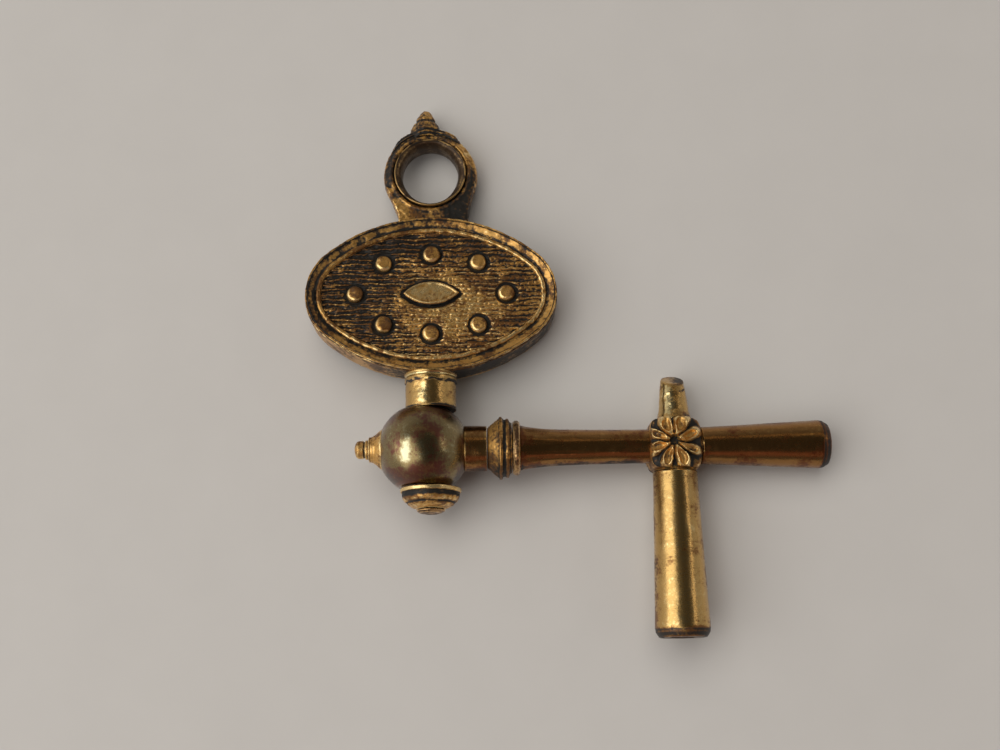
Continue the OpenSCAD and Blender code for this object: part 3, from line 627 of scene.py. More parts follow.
def lip_wear_and_highlight(spot):
    """The lip is rubbed bright in random places, and given a painted highlight along its lower side."""
    # Painted highlight along the lower side, with random rubbing on top of it.
    share = 0.05 + 0.6 * ease(-spot.y, -1.5, 1.5) + 1.2 * noise.noise(spot / 0.7)
    return -0.8 * share * ease(math.hypot(spot.x, spot.y), lip_r - 0.1, lip_r)


soil(bm, lip_wear_and_highlight)
finish_piece("bow_eyelet", bm, bow_place, dark_brass, 12, "handle")

# Bow finial
# A low turned cone, ringed by a groove, is brazed to the top of the loop on a saddle that thickens
# both shoulders. Its crown is rubbed and its grooves are black.
finial_tip = (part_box("bow_finial")[1].y - bow_middle.y) / MM
finial_x = -0.4
cone_l = 1.85
cone_r = 1.26
groove_drop = 1.22
saddle_r = 4.2
saddle_in = 3.3
saddle_start = 36
saddle_end = 164
along_y = Matrix.Rotation(math.radians(-90), 4, "X")


def set_along(bm, direction, spot):
    """Turns a lathed mesh from Z to another direction and moves its start to a spot."""
    bmesh.ops.transform(bm, matrix=Matrix.Translation(spot) @ direction, verts=bm.verts)


cone = []
for i in range(25):
    drop = cone_l * (1 - i / 24)
    ringed = 1 - 0.14 * bump(drop - groove_drop, 0.12)
    cone.append((cone_r * (drop / cone_l) ** 0.56 * ringed, finial_tip - drop))
cone_foot = [(0, saddle_in), (cone_r + 0.1, saddle_in), (cone_r + 0.06, finial_tip - cone_l - 0.1)]
bm = bmesh.new()
turn(bm, cone_foot + cone, steps=64)
bmesh.ops.scale(bm, vec=(1, 0.88, 1), verts=bm.verts)
set_along(bm, along_y, (finial_x, 0, 0))
saddle = bmesh.new()
upper_side = [(saddle_in, 0.86), (3.8, 0.92), (saddle_r, 0.6)]
start = draw(saddle, upper_side + [(r, -z) for r, z in reversed(upper_side)], closed=True)
turned = Matrix.Rotation(math.radians(saddle_start), 3, "Z")
bmesh.ops.rotate(saddle, cent=(0, 0, 0), matrix=turned, verts=saddle.verts)
saddle_faces = bmesh.ops.contextual_create(saddle, geom=start)["faces"]
sweep = math.radians(saddle_end - saddle_start)
bmesh.ops.spin(saddle, geom=saddle_faces, cent=(0, 0, 0), axis=(0, 0, 1), angle=sweep, steps=60)
for vert in saddle.verts:
    turn_at = math.degrees(math.atan2(vert.co.y, vert.co.x))
    rise = min(ease(turn_at, saddle_start, 68), ease(-turn_at, -saddle_end, -120))
    reach = vert.co.xy.length
    full = ring_r - 0.12 - saddle_in + rise * (saddle_r - ring_r + 0.12)
    thick = (reach - saddle_in) * full / (saddle_r - saddle_in)
    vert.co.xy *= (saddle_in + thick) / reach
bmesh.ops.recalc_face_normals(saddle, faces=saddle.faces)
join(bm, saddle)
fuse(bm, 0.05)
for vert in bm.verts:
    reach = vert.co.xy.length
    bands = 0.14 * bump(reach - 3.62, 0.08) + 0.1 * bump(reach - 3.98, 0.07)
    vert.co.z -= math.copysign(bands * ease(abs(vert.co.z), 0.3, 0.7), vert.co.z)
wear_down(bm, 0.07, 0.5, 26)
wear_down(bm, 0.08, 0.2, 27)
soften(bm, 2)
# Painted glint: a bright spot on the saddle at the upper right; the rest is dirt, a little heavier on the
# left.
soil(bm, lambda spot: (
    0.34 + 0.06 * ease(-spot.x, 0.6, 1.8) - 0.5 * bump(math.hypot(spot.x - 1.9, spot.y - 3.6), 0.6)
))
finish_piece("bow_finial", bm, bow_place, old_gilding, 14, "handle")

# Neck drum
# A turned brass drum joins the case to the swivel. A collar with a groove under it meets the case.
# Solder has run down from the joint and left a wavy edge.
swivel = Vector(frame["joints"][0]["pos_m"])
crank_place = Matrix.Translation(swivel) @ Matrix.Scale(MM, 4)


def turned_box(node_name, along, across):
    """Where a turned piece starts from the swivel along one axis, its length, and its radius on another."""
    low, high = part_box(node_name)
    start = (low[along] - swivel[along]) / MM
    return start, (high[along] - low[along]) / MM, (high[across] - low[across]) / 2 / MM


neck_start, neck_l, neck_r = turned_box("neck_drum", 1, 0)
pin_hole = 0.74
neck_body = [(pin_hole, 0), (neck_r - 0.16, 0)] + arc(neck_r - 0.16, 0.14, 0.14, 0.14, -90, 0, 5)
neck_collar = [(neck_r - 0.03, neck_l - 0.55), (neck_r - 0.12, neck_l - 0.5), (neck_r - 0.12, neck_l - 0.42)]
neck_collar += arc(neck_r - 0.14, neck_l - 0.22, 0.14, 0.19, -60, 90, 8) + [(pin_hole, neck_l)]
# Turned and gilt brass that the hand keeps bright: a warm yellow with fine rings and few dark marks.
ring_gilding = aged_gilding(
    "turned gilt brass", clean="#cca665", rubbed="#f2dca0", tarnish="#8a5e34", grime_and_shade="#1d150e",
    patch=1.8, fleck=0.2,
    soil=0.24, brown=0.82, gloss=0.27, metal=1.0, film=0.25, grain=0.018, lines=(1.6, 0.16, 1.6),
)
bm = bmesh.new()
turn(bm, spaced(neck_body + neck_collar, 0.09), steps=110, closed=True)
for vert in bm.verts:
    x, y, z = vert.co
    reach = math.hypot(x, y)
    flow = neck_l - 0.95 + 0.16 * noise.noise((x * 1.3, y * 1.3, 4.0))
    if reach > neck_r - 0.1 and z < flow:
        vert.co.xy *= 1 - 0.07 / reach
    if z > neck_l - 0.05 and reach < neck_r - 0.25:
        vert.co.z += side_r - math.sqrt(side_r**2 - x * x) + 0.06
wear_down(bm, 0.05, 0.8, 31)
wear_down(bm, 0.03, 0.25, 32)
# Dark at the solder's wavy edge; painted shade at the foot, where the drum meets the ball, and towards its
# right; a painted highlight down its left.
soil(bm, lambda spot: (
    0.9 * bump(spot.z - neck_l + 0.98 - 0.16 * noise.noise((spot.x * 2, spot.y * 2, 4.0)), 0.11)
    + 0.8 * bump(spot.z, 0.17) + 0.08 * ease(spot.x, 0, 1.3) - 0.4 * bump(spot.x + 0.55, 0.5) - 0.05
))
set_along(bm, along_y, (0, neck_start, 0))
finish_piece("neck_drum", bm, crank_place, ring_gilding, 12, "handle")

# Swivel pin
# A brass pin runs from the case through the neck, the ball and the cap, and its end is riveted over the cap.
# The hammered head shows a faint spiral.
pin_end, pin_l, _ = turned_box("swivel_pin", 1, 0)
pin_r = 0.7
rivet_r = 1.1
rivet_h = 0.32
spiral_pitch = 0.45
pin_head = [(0, 0), (0.5, 0.02), (0.85, 0.08), (rivet_r, rivet_h * 0.75), (rivet_r - 0.04, rivet_h)]
pin_shank = [(pin_r, rivet_h), (pin_r, pin_l), (0, pin_l)]
# Brass dulled by handling: a yellow brown, darker in patches, with a soft sheen.
dull_brass = aged_gilding(
    "dull handled brass", clean="#9c7448", rubbed="#cfa974", tarnish="#5f4630", grime_and_shade="#17120d",
    patch=1.4, fleck=0.25,
    soil=0.0, brown=0.68, gloss=0.36, metal=0.92, film=0.2, grain=0.04, lines=(0.2, 0.2, 0.2),
)
bm = bmesh.new()
turn(bm, spaced(pin_head + pin_shank, 0.1), steps=64)
for vert in bm.verts:
    x, y, z = vert.co
    reach = math.hypot(x, y)
    if z < rivet_h * 0.7:
        wave = math.cos(math.atan2(y, x) + 2 * math.pi * reach / spiral_pitch)
        vert.co.z += 0.02 * (1 + wave) * ease(reach, 0.02, 0.3)
set_along(bm, along_y, (0, pin_end, 0))
finish_piece("swivel_pin", bm, crank_place, dull_brass, 8, "handle")

# End cap
# A turned brass cap closes the lower side of the ball: a plain rim, a groove and a low dome under the rivet.
# The rim is worn bright, and dirt fills the groove.
cap_end, cap_l, cap_r = turned_box("end_cap", 1, 0)
dome_h = 1.2
dome_r = cap_r - 0.14
cap_rim = [(dome_r - 0.06, dome_h + 0.05), (cap_r - 0.04, dome_h + 0.14), (cap_r, cap_l - 0.14)]
cap_rim += arc(cap_r - 0.12, cap_l - 0.12, 0.12, 0.12, 0, 90, 5) + [(pin_hole, cap_l)]
cap_dome = [(pin_hole, 0.02), (1.2, 0.02)] + arc(0.75, dome_h, dome_r - 0.75, dome_h - 0.04, -72, 0, 16)
crease_h = 0.5
bm = bmesh.new()
turn(bm, spaced(cap_dome + cap_rim, 0.09), steps=110, closed=True)
for vert in bm.verts:
    x, y, z = vert.co
    vert.co.xy *= 1 - 0.05 * bump(z - crease_h, 0.08) * ease(math.hypot(x, y), 1.2, 1.5)
wear_down(bm, 0.06, 0.7, 33)
wear_down(bm, 0.05, 0.3, 34)
soil(bm, lambda spot: (
    0.85 * bump(spot.z - dome_h + 0.12, 0.2) + 0.45 * bump(spot.z - crease_h, 0.12)
    - 0.3 * ease(spot.z, dome_h + 0.1, dome_h + 0.3) - 0.1
))
set_along(bm, along_y, (0, cap_end, 0))
finish_piece("end_cap", bm, crank_place, old_gilding, 12, "handle")

# Ball
# The swivel's ball is solid brass, turned, cut flat above and below, and bored off centre for the pin.
# Fingers have polished it, so that it carries sharp highlights among brown stains; a pale patch paints the
# highlight where it mirrors the window, and its rim is darkened as painted shade.
ball_low, ball_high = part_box("ball")
ball_r = (ball_high.z - ball_low.z) / 2 / MM
ball_x = -0.55
ball_flat = (ball_high.y - ball_low.y) / 2 / MM
ball_hole = 0.75
flat_turn = math.degrees(math.asin(ball_flat / ball_r))
ball_sides = 128
# Brass polished by fingers under a clear film: olive gold among red-brown stains, with sharp highlights; its
# pale rubbed tone paints the highlight.
polished_ball = aged_gilding(
    "hand-polished brass", clean="#857143", rubbed="#cfc9a2", tarnish="#6d3b25", grime_and_shade="#1a140d",
    patch=1.6, fleck=0.3,
    soil=0.34, brown=0.79, gloss=0.27, metal=1.0, film=1.0, grain=0.01, lines=(0.2, 1.8, 0.2),
)
bm = bmesh.new()
turn(bm, arc(0, 0, ball_r, ball_r, -flat_turn, flat_turn, 84), steps=ball_sides)
wear_down(bm, 0.03, 1.1, 41)
for level in (-ball_flat, ball_flat):
    rim = [edge for edge in bm.edges if edge.is_boundary and edge.verts[0].co.z * level > 0]
    bore_place = Matrix.Translation((-ball_x, 0, level))
    hole = bmesh.ops.create_circle(
        bm, cap_ends=False, radius=ball_hole, segments=ball_sides, matrix=bore_place,
    )["verts"]
    bore = list({edge for vert in hole for edge in vert.link_edges})
    bmesh.ops.bridge_loops(bm, edges=rim + bore)
bmesh.ops.bridge_loops(bm, edges=[edge for edge in bm.edges if edge.is_boundary])
set_along(bm, along_y, (ball_x, 0, 0))


def ball_stains_and_light(spot):
    """Extra darkening on the ball: painted shade round its rim, stains in streaks under the neck and on its
    lower side, and a painted highlight where it mirrors the window.
    """
    facing = abs(spot.z) / ball_r
    streaks = 0.5 + noise.noise((spot.x / 0.25, spot.y / 3, spot.z / 0.25))
    painted_highlight = bump(math.hypot((spot.x + 1.8) / 0.34, (spot.y + 0.85) / 1.0), 1) * ease(facing, 0.4, 0.8)
    # Painted shade: the ball is darkened towards its rim in view.
    sides = 0.32 * ease(-facing, -0.75, -0.1)
    return sides + 0.5 * streaks * ease(spot.y, 1.2, 2.6) + 0.3 * ease(-spot.y, 1.0, 2.4) + 0.1 - 0.46 * painted_highlight


soil(bm, ball_stains_and_light)
finish_piece("ball", bm, crank_place, polished_ball, 10, "crank")

# Ball knob
# A stepped knob is turned on the end of the arm's spigot and brazed to the far side of the ball.
# Its end is rounded, with a groove and a ringed collar before the cone.
knob_low, knob_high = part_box("ball_knob")
knob_end = (knob_low.x - swivel.x) / MM
knob_base = (knob_high.x - swivel.x) / MM
along_x = Matrix.Rotation(math.radians(90), 4, "Y")
knob_tip = arc(0, 0.36, 0.72, 0.36, -90, 0, 9) + [(0.73, 0.7), (0.66, 0.76), (0.66, 0.82), (0.78, 0.88)]
knob_collar = [(0.8, 1.08), (0.98, 1.14), (1.03, 1.22), (0.99, 1.28), (1.04, 1.34), (1.06, 1.46)]
knob_cone = [(1.13, 1.52), (1.2, 1.66), (1.38, 1.86), (1.6, 2.12)]
knob_cone += [(1.6, knob_base - knob_end), (0, knob_base - knob_end)]
bm = bmesh.new()
turn(bm, spaced(knob_tip + knob_collar + knob_cone, 0.07), steps=80)
wear_down(bm, 0.04, 0.5, 43)
set_along(bm, along_x, (knob_end, 0, 0))
finish_piece("ball_knob", bm, crank_place, old_gilding, 10, "crank")

# Arm neck
# A short turned neck stands between the ball and the flange, threaded on the arm's spigot.
# It is polished and warm, like the arm.
# Gilding that the hand has rubbed thin: a brownish gold with a gloss, and fine marks drawn along the arm.
rubbed_gilding = aged_gilding(
    "rubbed gilt brass", clean="#9c7140", rubbed="#d0a868", tarnish="#7a4a2a", grime_and_shade="#1d150e",
    patch=1.8, fleck=0.22,
    soil=0.24, brown=0.8, gloss=0.25, metal=1.0, film=0.12, grain=0.015, lines=(2.5, 0.16, 0.16),
)
arm_neck_start, arm_neck_l, arm_neck_r = turned_box("arm_neck", 0, 2)
spigot_hole = 0.92
arm_neck_outline = [(spigot_hole, 0), (arm_neck_r, 0)]
arm_neck_outline += [(arm_neck_r - 0.02, arm_neck_l), (spigot_hole, arm_neck_l)]
bm = bmesh.new()
turn(bm, spaced(arm_neck_outline, 0.09), steps=110, closed=True)
wear_down(bm, 0.04, 0.8, 45)
set_along(bm, along_x, (arm_neck_start, 0, 0))
# Painted shade along its upper and lower edges.
soil(bm, lambda spot: 0.5 * ease(-abs(spot.z), -1.3, -0.3))
finish_piece("arm_neck", bm, crank_place, rubbed_gilding, 10, "crank")

# Arm flange
# A sharp turned flange sits on the arm's spigot: a steep cone up to its crest, a groove and a small bead.
# Its crest is nicked and its grooves are black.
flange_start, flange_l, flange_r = turned_box("arm_flange", 0, 2)
flange_cone = [(spigot_hole, 0), (1.58, 0), (1.74, 0.16), (2.05, 0.5), (flange_r - 0.14, 0.92)]
flange_crest = arc(flange_r - 0.1, 1.08, 0.1, 0.16, -60, 60, 6)
flange_groove = [(flange_r - 0.22, 1.32), (flange_r - 0.24, 1.42)]
flange_bead = arc(flange_r - 0.24, 1.6, 0.1, 0.16, -70, 70, 6)
flange_back = [(2.08, 1.84), (1.98, flange_l), (spigot_hole, flange_l)]
flange_outline = flange_cone + flange_crest + flange_groove + flange_bead + flange_back
bm = bmesh.new()
turn(bm, spaced(flange_outline, 0.08), steps=128, closed=True)
wear_down(bm, 0.05, 0.7, 47)
wear_down(bm, 0.05, 0.25, 48)
soil(bm, lambda spot: 0.27)
set_along(bm, along_x, (flange_start, 0, 0))
finish_piece("arm_flange", bm, crank_place, old_gilding, 10, "crank")

# Arm ring
# A loose-looking dull ring sits between the flange and the arm.
# It has a round edge with dents that glint.
arm_ring_start, arm_ring_l, arm_ring_r = turned_box("arm_ring", 0, 2)
arm_ring_edge = [(arm_ring_r - 0.12, 0.0)]
arm_ring_edge += arc(arm_ring_r - 0.14, arm_ring_l / 2, 0.14, arm_ring_l / 2 - 0.06, -80, 80, 10)
arm_ring_edge += [(arm_ring_r - 0.16, arm_ring_l)]
bm = bmesh.new()
turn(bm, [(spigot_hole, 0)] + arm_ring_edge + [(spigot_hole, arm_ring_l)], steps=128, closed=True)
wear_down(bm, 0.06, 0.5, 49)
wear_down(bm, 0.05, 0.2, 50)
set_along(bm, along_x, (arm_ring_start, 0, 0))
finish_piece("arm_ring", bm, crank_place, dull_brass, 8, "crank")

# Crank arm
# The arm is turned brass rod that thins quickly from its root and then runs almost straight to the hub.
# Polishing has drawn fine lines along it.
hub_low, hub_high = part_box("hub")
hub_middle = (hub_low + hub_high) / 2
arm_start = arm_ring_start + arm_ring_l
arm_end = (hub_low.x - swivel.x) / MM
arm_root_r = 1.8
arm_tip_r = 1.36
arm_taper_l = 2.0
arm_l = arm_end - arm_start
arm_outline = [(0, -0.2), (arm_root_r - 0.1, -0.2)]
for i in range(61):
    run = arm_l * i / 60
    arm_outline.append((arm_tip_r + (arm_root_r - arm_tip_r) * math.exp(-run / arm_taper_l), run))


def side_shade_patches(spot):
    """How strong the painted shade along the sides of a rod is at a point: it is broken into long patches."""
    return 0.8 + 0.7 * noise.noise(spot / 1.3)


bm = bmesh.new()
turn(bm, spaced(arm_outline + [(arm_tip_r, arm_l + 0.4), (0, arm_l + 0.4)], 0.16), steps=128)
for vert in bm.verts:
    x, y, z = vert.co
    vert.co.xy *= 1 - 0.012 * (1 + noise.noise((x * 4, y * 4, z / 3.5)))
wear_down(bm, 0.03, 0.9, 51)
# Painted shade along the arm's upper and lower edges, heavier on the lower one and broken into long patches;
# dark at its root, where it meets the ring.
soil(bm, lambda spot: (
    side_shade_patches(spot) * (0.44 + 0.2 * ease(-spot.y, -0.3, 0.6)) * ease(-abs(spot.x), -1.25, -0.1)
    + 0.5 * bump(spot.z, 0.25)
))
set_along(bm, along_x, (arm_start, 0, 0))
finish_piece("crank_arm", bm, crank_place, rubbed_gilding, 10, "crank")

# Hub
# The cross block is cast brass with soft edges, drilled for the arm, the stub and the two barrels.
# Its corners are rubbed bright.
hub_half = (hub_high - hub_low) / 2 / MM
hub_place = Matrix.Translation(hub_middle) @ Matrix.Scale(MM, 4)
hub_square = 5.5


def hub_surface(x, y):
    """Height of the hub's front over its middle plane."""
    left = 1 - abs(x / hub_half.x) ** hub_square - abs(y / hub_half.y) ** hub_square
    return hub_half.z * max(0, left) ** (1 / hub_square)


bm = bmesh.new()
bmesh.ops.create_cube(bm, size=2)
bmesh.ops.subdivide_edges(bm, edges=bm.edges, cuts=40, use_grid_fill=True)
for vert in bm.verts:
    vert.co /= sum(abs(side) ** hub_square for side in vert.co) ** (1 / hub_square)
bmesh.ops.scale(bm, vec=hub_half, verts=bm.verts)
wear_down(bm, 0.09, 0.9, 53)
wear_down(bm, 0.05, 0.3, 54)
soil(bm, lambda spot: 0.14)
finish_piece("hub", bm, hub_place, old_gilding, 14, "crank")

# Front and back rosettes
# A chased flower of eight petals covers each face of the hub, every petal a spoon with a raised rim.
# Its rims glint and the grooves between the petals are black.
rosette_x = -0.2
rosette_r = 2.5
rosette_half = 1.98
petals = 8
petal_middle = 1.36
petal_half_l = 0.98
rim_h = 0.4


def petal_relief(reach, angle, seed):
    """Height of the flower over the hub's face, at that distance and angle from its middle."""
    number = round(angle * petals / (2 * math.pi) - 0.5) + 0.5
    aside = angle - number * 2 * math.pi / petals
    odd = noise.noise((number % petals * 3.3, seed, 0.2))
    across = reach * math.sin(aside) / ((0.22 + 0.24 * reach / petal_middle) * (1 + 0.3 * odd))
    along = (reach * math.cos(aside) - petal_middle) / (petal_half_l + 0.2 * odd)
    span = math.hypot(across, along)
    rim = rim_h * (1 + 0.9 * odd + 0.7 * odd * across) * bump(span - 0.74, 0.3)
    spoon = 0.13 * bump(span, 0.6)
    groove = 0.14 * ease(span, 0.95, 1.2)
    button = 0.1 * bump(reach - 0.46, 0.1) - 0.22 * bump(reach, 0.3)
    return max(0.02, 0.14 + rim + spoon - groove + button)


for face, side in both_faces:
    bm = bmesh.new()
    turn(bm, [(rosette_r * i / 50, 0) for i in range(51)], steps=200)
    for vert in bm.verts:
        x, y, _ = vert.co
        bend = noise.noise_vector((x / 1.1, y / 1.1, side)) * 0.22
        relief = petal_relief(math.hypot(x + bend.x, y + bend.y), math.atan2(y + bend.y, x + bend.x), side)
        x += rosette_x
        over = ((abs(x) ** hub_square + abs(y) ** hub_square) ** (1 / hub_square)) / rosette_half
        x /= max(1, over)
        y /= max(1, over)
        vert.co = (x, y, hub_surface(x, y) + relief)
    bmesh.ops.remove_doubles(bm, verts=bm.verts, dist=0.002)
    close_below(bm, 1.0)
    wear_down(bm, 0.06, 0.25, side + 56)
    soil(bm, lambda spot: 0.46 - 0.6 * ease(spot.z - hub_surface(spot.x, spot.y), -0.02, 0.34))
    rosette_place = hub_place @ Matrix.Diagonal((1, 1, side, 1))
    finish_piece(face + "_rosette", bm, rosette_place, old_gilding, 8, "crank")

# Hub stub
# A short tapered stub stands on the hub, with a dark line near its top and a slanted end.
# It was never filed smooth, so that its end stays dull.
stub_l = (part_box("hub_stub")[1].y - hub_high.y) / MM
stub_base_r = 1.4
stub_tip_r = 0.97
stub_x = 0.12
stub_start = (hub_high.y - swivel.y) / MM
hub_x = (hub_middle.x - swivel.x) / MM
stub_slant = 0.6
slant_start = stub_l - 2.0
stub_top = stub_l - stub_slant * stub_tip_r
stub_foot = [(0, -0.4), (stub_base_r, -0.4), (stub_base_r, 0.0), (stub_base_r - 0.16, 0.6)]
stub_end = [(stub_tip_r + 0.06, stub_top - 0.7)]
stub_end += arc(stub_tip_r - 0.24, stub_top - 0.24, 0.24, 0.24, 0, 90, 7)
bm = bmesh.new()
turn(bm, spaced(stub_foot + stub_end + [(0, stub_top)], 0.08), steps=96)
for vert in bm.verts:
    vert.co.z += stub_slant * vert.co.y * ease(vert.co.z, slant_start, stub_top)


def stub_dirt_and_light(spot):
    """Extra darkening on the stub: dirt on its cut end and at its foot, a dark line under the end, painted
    shade towards its right and a painted highlight down its left.
    """
    drop = stub_top + stub_slant * spot.y - spot.z
    # Painted light: a highlight down the stub's left side and shade towards its right.
    side_light = 0.3 * ease(spot.x, -0.1, 0.8) - 0.34 * bump(spot.x + 0.5, 0.4)
    cut_end = 0.42 * ease(-drop, -0.3, -0.1)
    line = 0.4 * bump(drop - 0.62, 0.1) * ease(spot.x, -0.4, 0.3)
    return cut_end + line + side_light + 0.3 * bump(spot.z, 0.3)


soil(bm, stub_dirt_and_light)
wear_down(bm, 0.06, 0.6, 58)
wear_down(bm, 0.03, 0.2, 59)
set_along(bm, along_y, (hub_x + stub_x, stub_start, 0))
finish_piece("hub_stub", bm, crank_place, ring_gilding, 10, "crank")

# Winding and setting barrels
# Each barrel is turned brass, flared to its mouth, chamfered at the end and bored for a steel socket.
# The gilding is rubbed to a gloss, with fine turning rings, small pits and brown stains; painted shade
# darkens its edges in view.
down_y = Matrix.Rotation(math.radians(90), 4, "X")
mouth_chamfer = 0.28
mouth_chamfer_l = 0.75
winding_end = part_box("winding_barrel")[0].y
setting_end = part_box("setting_barrel")[1].x
barrels = {
    "winding": (1.76, 2.14, 1.55, 7.0, (hub_low.y - winding_end) / MM, ring_gilding),
    "setting": (1.49, 1.93, 1.3, 6.0, (setting_end - hub_high.x) / MM, rubbed_gilding),
}
barrel_places = {
    "winding": Matrix.Translation((hub_x, (hub_low.y - swivel.y) / MM, 0)) @ down_y,
    "setting": Matrix.Translation(((hub_high.x - swivel.x) / MM, 0, 0)) @ along_x,
}
for name, (root_r, mouth_r, socket_r, socket_l, length, finish) in barrels.items():
    flare_l = length - mouth_chamfer_l
    root = [(0, -0.5), (root_r - 0.1, -0.5), (root_r - 0.06, 0)]
    wall = [(root_r + (mouth_r - root_r) * (i / 40) ** 1.15, flare_l * i / 40) for i in range(41)]
    mouth = [(mouth_r - 0.05, length - 0.42), (mouth_r - mouth_chamfer, length - 0.04)]
    mouth += [(mouth_r - mouth_chamfer - 0.08, length), (socket_r + 0.03, length)]
    bore = [(socket_r + 0.02, length - 0.05), (socket_r + 0.02, length - socket_l), (0, length - socket_l)]
    bm = bmesh.new()
    turn(bm, spaced(root + wall + mouth + bore, 0.2), steps=128)
    for vert in bm.verts:
        x, y, z = vert.co
        rings = 0.004 * (1 + noise.noise((0.3, length, z / 0.22)))
        vert.co.xy *= 1 - rings * ease(math.hypot(x, y), socket_r, root_r)
    wear_down(bm, 0.03, 1.1, length)
    wear_down(bm, 0.012, 0.3, length + 1)
    bmesh.ops.transform(bm, matrix=barrel_places[name], verts=bm.verts)
    from_root = barrel_places[name].inverted()
    # Painted shade along the barrel's two edges in view, broken into long patches; dark on the chamfer at its
    # mouth.
    soil(bm, lambda spot: (
        0.42 * side_shade_patches(spot) * ease(-abs(spot.z), -0.72 * mouth_r, -0.05 * mouth_r)
        + 0.9 * ease((from_root @ spot).z, length - 0.85, length - 0.6)
    ))
    finish_piece(name + "_barrel", bm, crank_place, finish, 10, "crank")

# Winding and setting sockets
# A steel plug with a square hole is pressed into the mouth of each barrel, to turn an arbor.
# The steel is browned with age and its square is worn at the mouth.
squares = {"winding": (1.75, 5.5), "setting": (1.35, 4.5)}
square_sides = 48
# Steel that has browned with age: grey metal mottled with rust brown, without a polish.
browned_steel = bpy.data.materials.new("browned steel")
browned_steel.use_nodes = True
steel_tree = browned_steel.node_tree
steel_spot = node(steel_tree, "TexCoord", {}).outputs["Object"]
rust_look = {"Vector": steel_spot, "Scale": 1 / (0.4 * MM), "Detail": 5, "Roughness": 0.6}
rust = node(steel_tree, "TexNoise", rust_look).outputs["Fac"]
steel_tones = {0: rust, 6: linear("#8a8580"), 7: linear("#4a3220")}
fill(steel_tree, steel_tree.nodes["Principled BSDF"], {
    "Base Color": node(steel_tree, "Mix", steel_tones, data_type="RGBA").outputs[2],
    "Roughness": node(steel_tree, "MapRange", {"Value": rust, "To Min": 0.3, "To Max": 0.65}).outputs[0],
    "Normal": node(steel_tree, "Bump", {"Height": rust, "Strength": 0.3, "Distance": 0.03 * MM}).outputs[0],
    "Metallic": 0.9,
})
for name, (square, depth) in squares.items():
    _, _, plug_r, plug_l, length, _ = barrels[name]
    half = square / 2
    bm = bmesh.new()
    levels = [(plug_r - 0.06, 0, False), (half + 0.08, 0, True), (half, -0.12, True), (half, -depth, True)]
    loops = []
    for size, level, is_square in levels:
        verts = bmesh.ops.create_circle(
            bm, cap_ends=False, radius=size, segments=square_sides, matrix=Matrix.Translation((0, 0, level)),
        )["verts"]
        if is_square:
            for vert in verts:
                vert.co.xy *= size / max(abs(vert.co.x), abs(vert.co.y))
        loops.append(list({edge for vert in verts for edge in vert.link_edges}))
    for upper, lower in zip(loops, loops[1:]):
        bmesh.ops.bridge_loops(bm, edges=upper + lower)
    bmesh.ops.contextual_create(bm, geom=loops[-1])
    wall = bmesh.ops.extrude_edge_only(bm, edges=loops[0])["geom"]
    bmesh.ops.translate(bm, vec=(0, 0, -plug_l), verts=points_of(wall))
    bmesh.ops.holes_fill(bm, edges=[edge for edge in bm.edges if edge.is_boundary], sides=0)
    plug_place = barrel_places[name] @ Matrix.Translation((0, 0, length - 0.02))
    bmesh.ops.transform(bm, matrix=plug_place, verts=bm.verts)
    socket = finish_piece(name + "_socket", bm, crank_place, browned_steel, 4, "crank")
    socket.data.set_sharp_from_angle(angle=math.radians(40))

# Floor
# The key lies on pale matt paper. It rests on the ball, the rim of the case's back and the end of the
# setting barrel, so that the paper slopes a little against the key.
rest_bow = Vector((0, (ring_high.y - swivel.y) / MM - 0.3, -ring_half_t))
rest_barrel = Vector(((setting_end - swivel.x) / MM - mouth_chamfer_l, 0, -barrels["setting"][1]))
case_spot = (case_middle - swivel) / MM
rim_inset = 0.2
rest_rim = []
for turn_at in [math.radians(step) for step in range(0, 180, 5)]:
    rim_x = (case_half_w - rim_inset) * math.cos(turn_at)
    rim_y = (case_half_h - rim_inset) * math.sin(turn_at)
    rest_rim.append(case_spot + Vector((rim_x, rim_y, -bezel_top)))
slope_x = 0.0
slope_y = 0.0
for _ in range(12):
    drop = ball_x * slope_x - ball_r * math.sqrt(1 + slope_x**2 + slope_y**2)
    slope_x = (rest_barrel.z - drop) / rest_barrel.x
    slope_y = min((spot.z - drop - slope_x * spot.x) / spot.y for spot in rest_rim + [rest_bow])
# Matt paper: a pale grey, faintly clouded by its fibres, with almost no shine.
paper = bpy.data.materials.new("matt paper")
paper.use_nodes = True
paper_tree = paper.node_tree
paper_spot = node(paper_tree, "TexCoord", {}).outputs["Object"]
fibre_look = {"Vector": paper_spot, "Scale": 1 / (6 * MM), "Detail": 6, "Roughness": 0.6}
fibre = node(paper_tree, "TexNoise", fibre_look).outputs["Fac"]
paper_tones = {0: fibre, 6: linear("#bdbbb9"), 7: linear("#c3c1bf")}
fill(paper_tree, paper_tree.nodes["Principled BSDF"], {
    "Base Color": node(paper_tree, "Mix", paper_tones, data_type="RGBA").outputs[2],
    "Roughness": 0.9,
    "Specular IOR Level": 0.1,
})
bm = bmesh.new()
bmesh.ops.create_grid(bm, x_segments=2, y_segments=2, size=1.5)
for vert in bm.verts:
    vert.co.z = swivel.z + drop * MM + slope_x * (vert.co.x - swivel.x) + slope_y * (vert.co.y - swivel.y)
floor_mesh = bpy.data.meshes.new("floor")
bm.to_mesh(floor_mesh)
bm.free()
floor_mesh.materials.append(paper)
floor = put_in_scene("floor", floor_mesh)

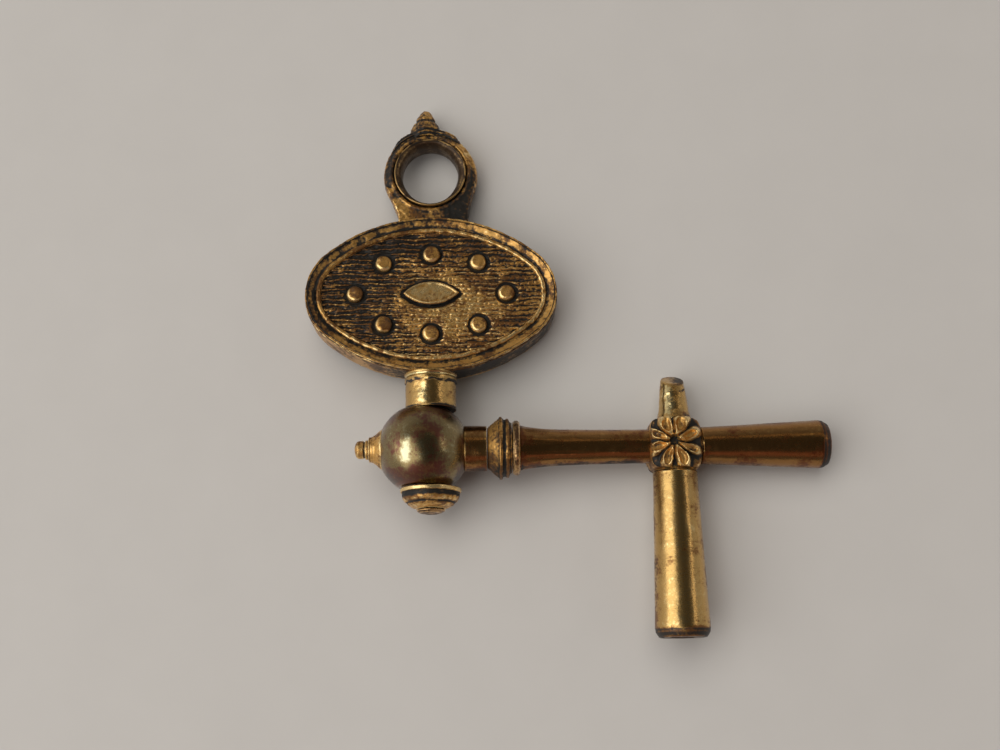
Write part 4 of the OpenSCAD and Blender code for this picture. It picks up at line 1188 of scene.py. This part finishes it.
# Camera
# The photograph looks down on the key from a little below it, with the arm almost level.
view_middle = swivel + Vector((5.525, 5.962, 0)) * MM
lens = bpy.data.cameras.new("camera")
lens.sensor_width = 36
lens.lens = 45
lens.clip_start = MM
camera_turn = math.radians(-0.746)
camera_lean = math.radians(14.678)
camera_roll = math.radians(-0.894)
camera_reach = 99.86 * MM
camera = put_in_scene("camera", lens)
camera.matrix_world = (
    Matrix.Translation(view_middle)
    @ Matrix.Rotation(camera_turn, 4, "Y")
    @ Matrix.Rotation(camera_lean, 4, "X")
    @ Matrix.Rotation(camera_roll, 4, "Z")
    @ Matrix.Translation((0, 0, camera_reach))
)
bpy.context.scene.camera = camera

# Light
# A tall window stands to the left, a weak card to the right, and narrow cards above and below colour
# the arm.
# The room over the key is dark, and a ceiling light that the metal doesn't mirror softens the shadows.
lights = {
    "window": ((-0.67, -0.24, 0.70), 0.32, 0.42, 0.74, "#fffcf6"),
    "right card": ((0.74, 0.1, 0.62), 0.03, 0.2, 0.04, "#fff0e0"),
    "upper card": ((0.1, 0.62, 0.78), 0.03, 0.5, 0.03, "#ffe2b8"),
    "lower card": ((0.1, -0.88, 0.46), 0.14, 0.5, 0.04, "#ff8f7c"),
}
light_distance = 0.35
for name, (toward, tall, wide, power, tint) in lights.items():
    lamp = bpy.data.lights.new(name, "AREA")
    lamp.shape = "RECTANGLE"
    lamp.size = tall
    lamp.size_y = wide
    lamp.energy = power
    lamp.color = linear(tint)[:3]
    placed = put_in_scene(name, lamp)
    placed.location = view_middle + Vector(toward).normalized() * light_distance
    placed.rotation_euler = (-Vector(toward)).to_track_quat("-Z", "X").to_euler()
    placed.visible_camera = False
ceiling = bpy.data.lights.new("ceiling", "SUN")
ceiling.energy = 1.35
ceiling.angle = math.radians(50)
ceiling.color = linear("#fffaf2")[:3]
placed = put_in_scene("ceiling", ceiling)
placed.rotation_euler = Vector((0.2, -0.3, -0.93)).to_track_quat("-Z", "Y").to_euler()
placed.visible_glossy = False
room = bpy.data.worlds.new("room")
room.use_nodes = True
room_tree = room.node_tree
sky = node(room_tree, "TexCoord", {}).outputs["Generated"]
sky_x, sky_y, sky_z = node(room_tree, "SeparateXYZ", {"Vector": sky}).outputs[:3]
glow_reach = {"Value": sky_z, "From Min": 0.3, "From Max": 0.85, "To Min": 0.85, "To Max": 0.17}
glow = node(room_tree, "MapRange", glow_reach, interpolation_type="SMOOTHSTEP").outputs[0]
across = node(room_tree, "Math", {0: sky_x, 1: sky_x}, operation="MULTIPLY").outputs[0]
sides = 0.22
for layer, share in ((across, 0.4), (sky_x, -0.15), (sky_y, 0.1)):
    sides = node(room_tree, "Math", {0: layer, 1: share, 2: sides}, operation="MULTIPLY_ADD").outputs[0]
strength = node(room_tree, "Math", {0: glow, 1: sides}, operation="MULTIPLY").outputs[0]
fill(room_tree, room_tree.nodes["Background"], {"Strength": strength, "Color": linear("#fffaf5")})
bpy.context.scene.world = room
bpy.context.scene.view_settings.view_transform = "Standard"
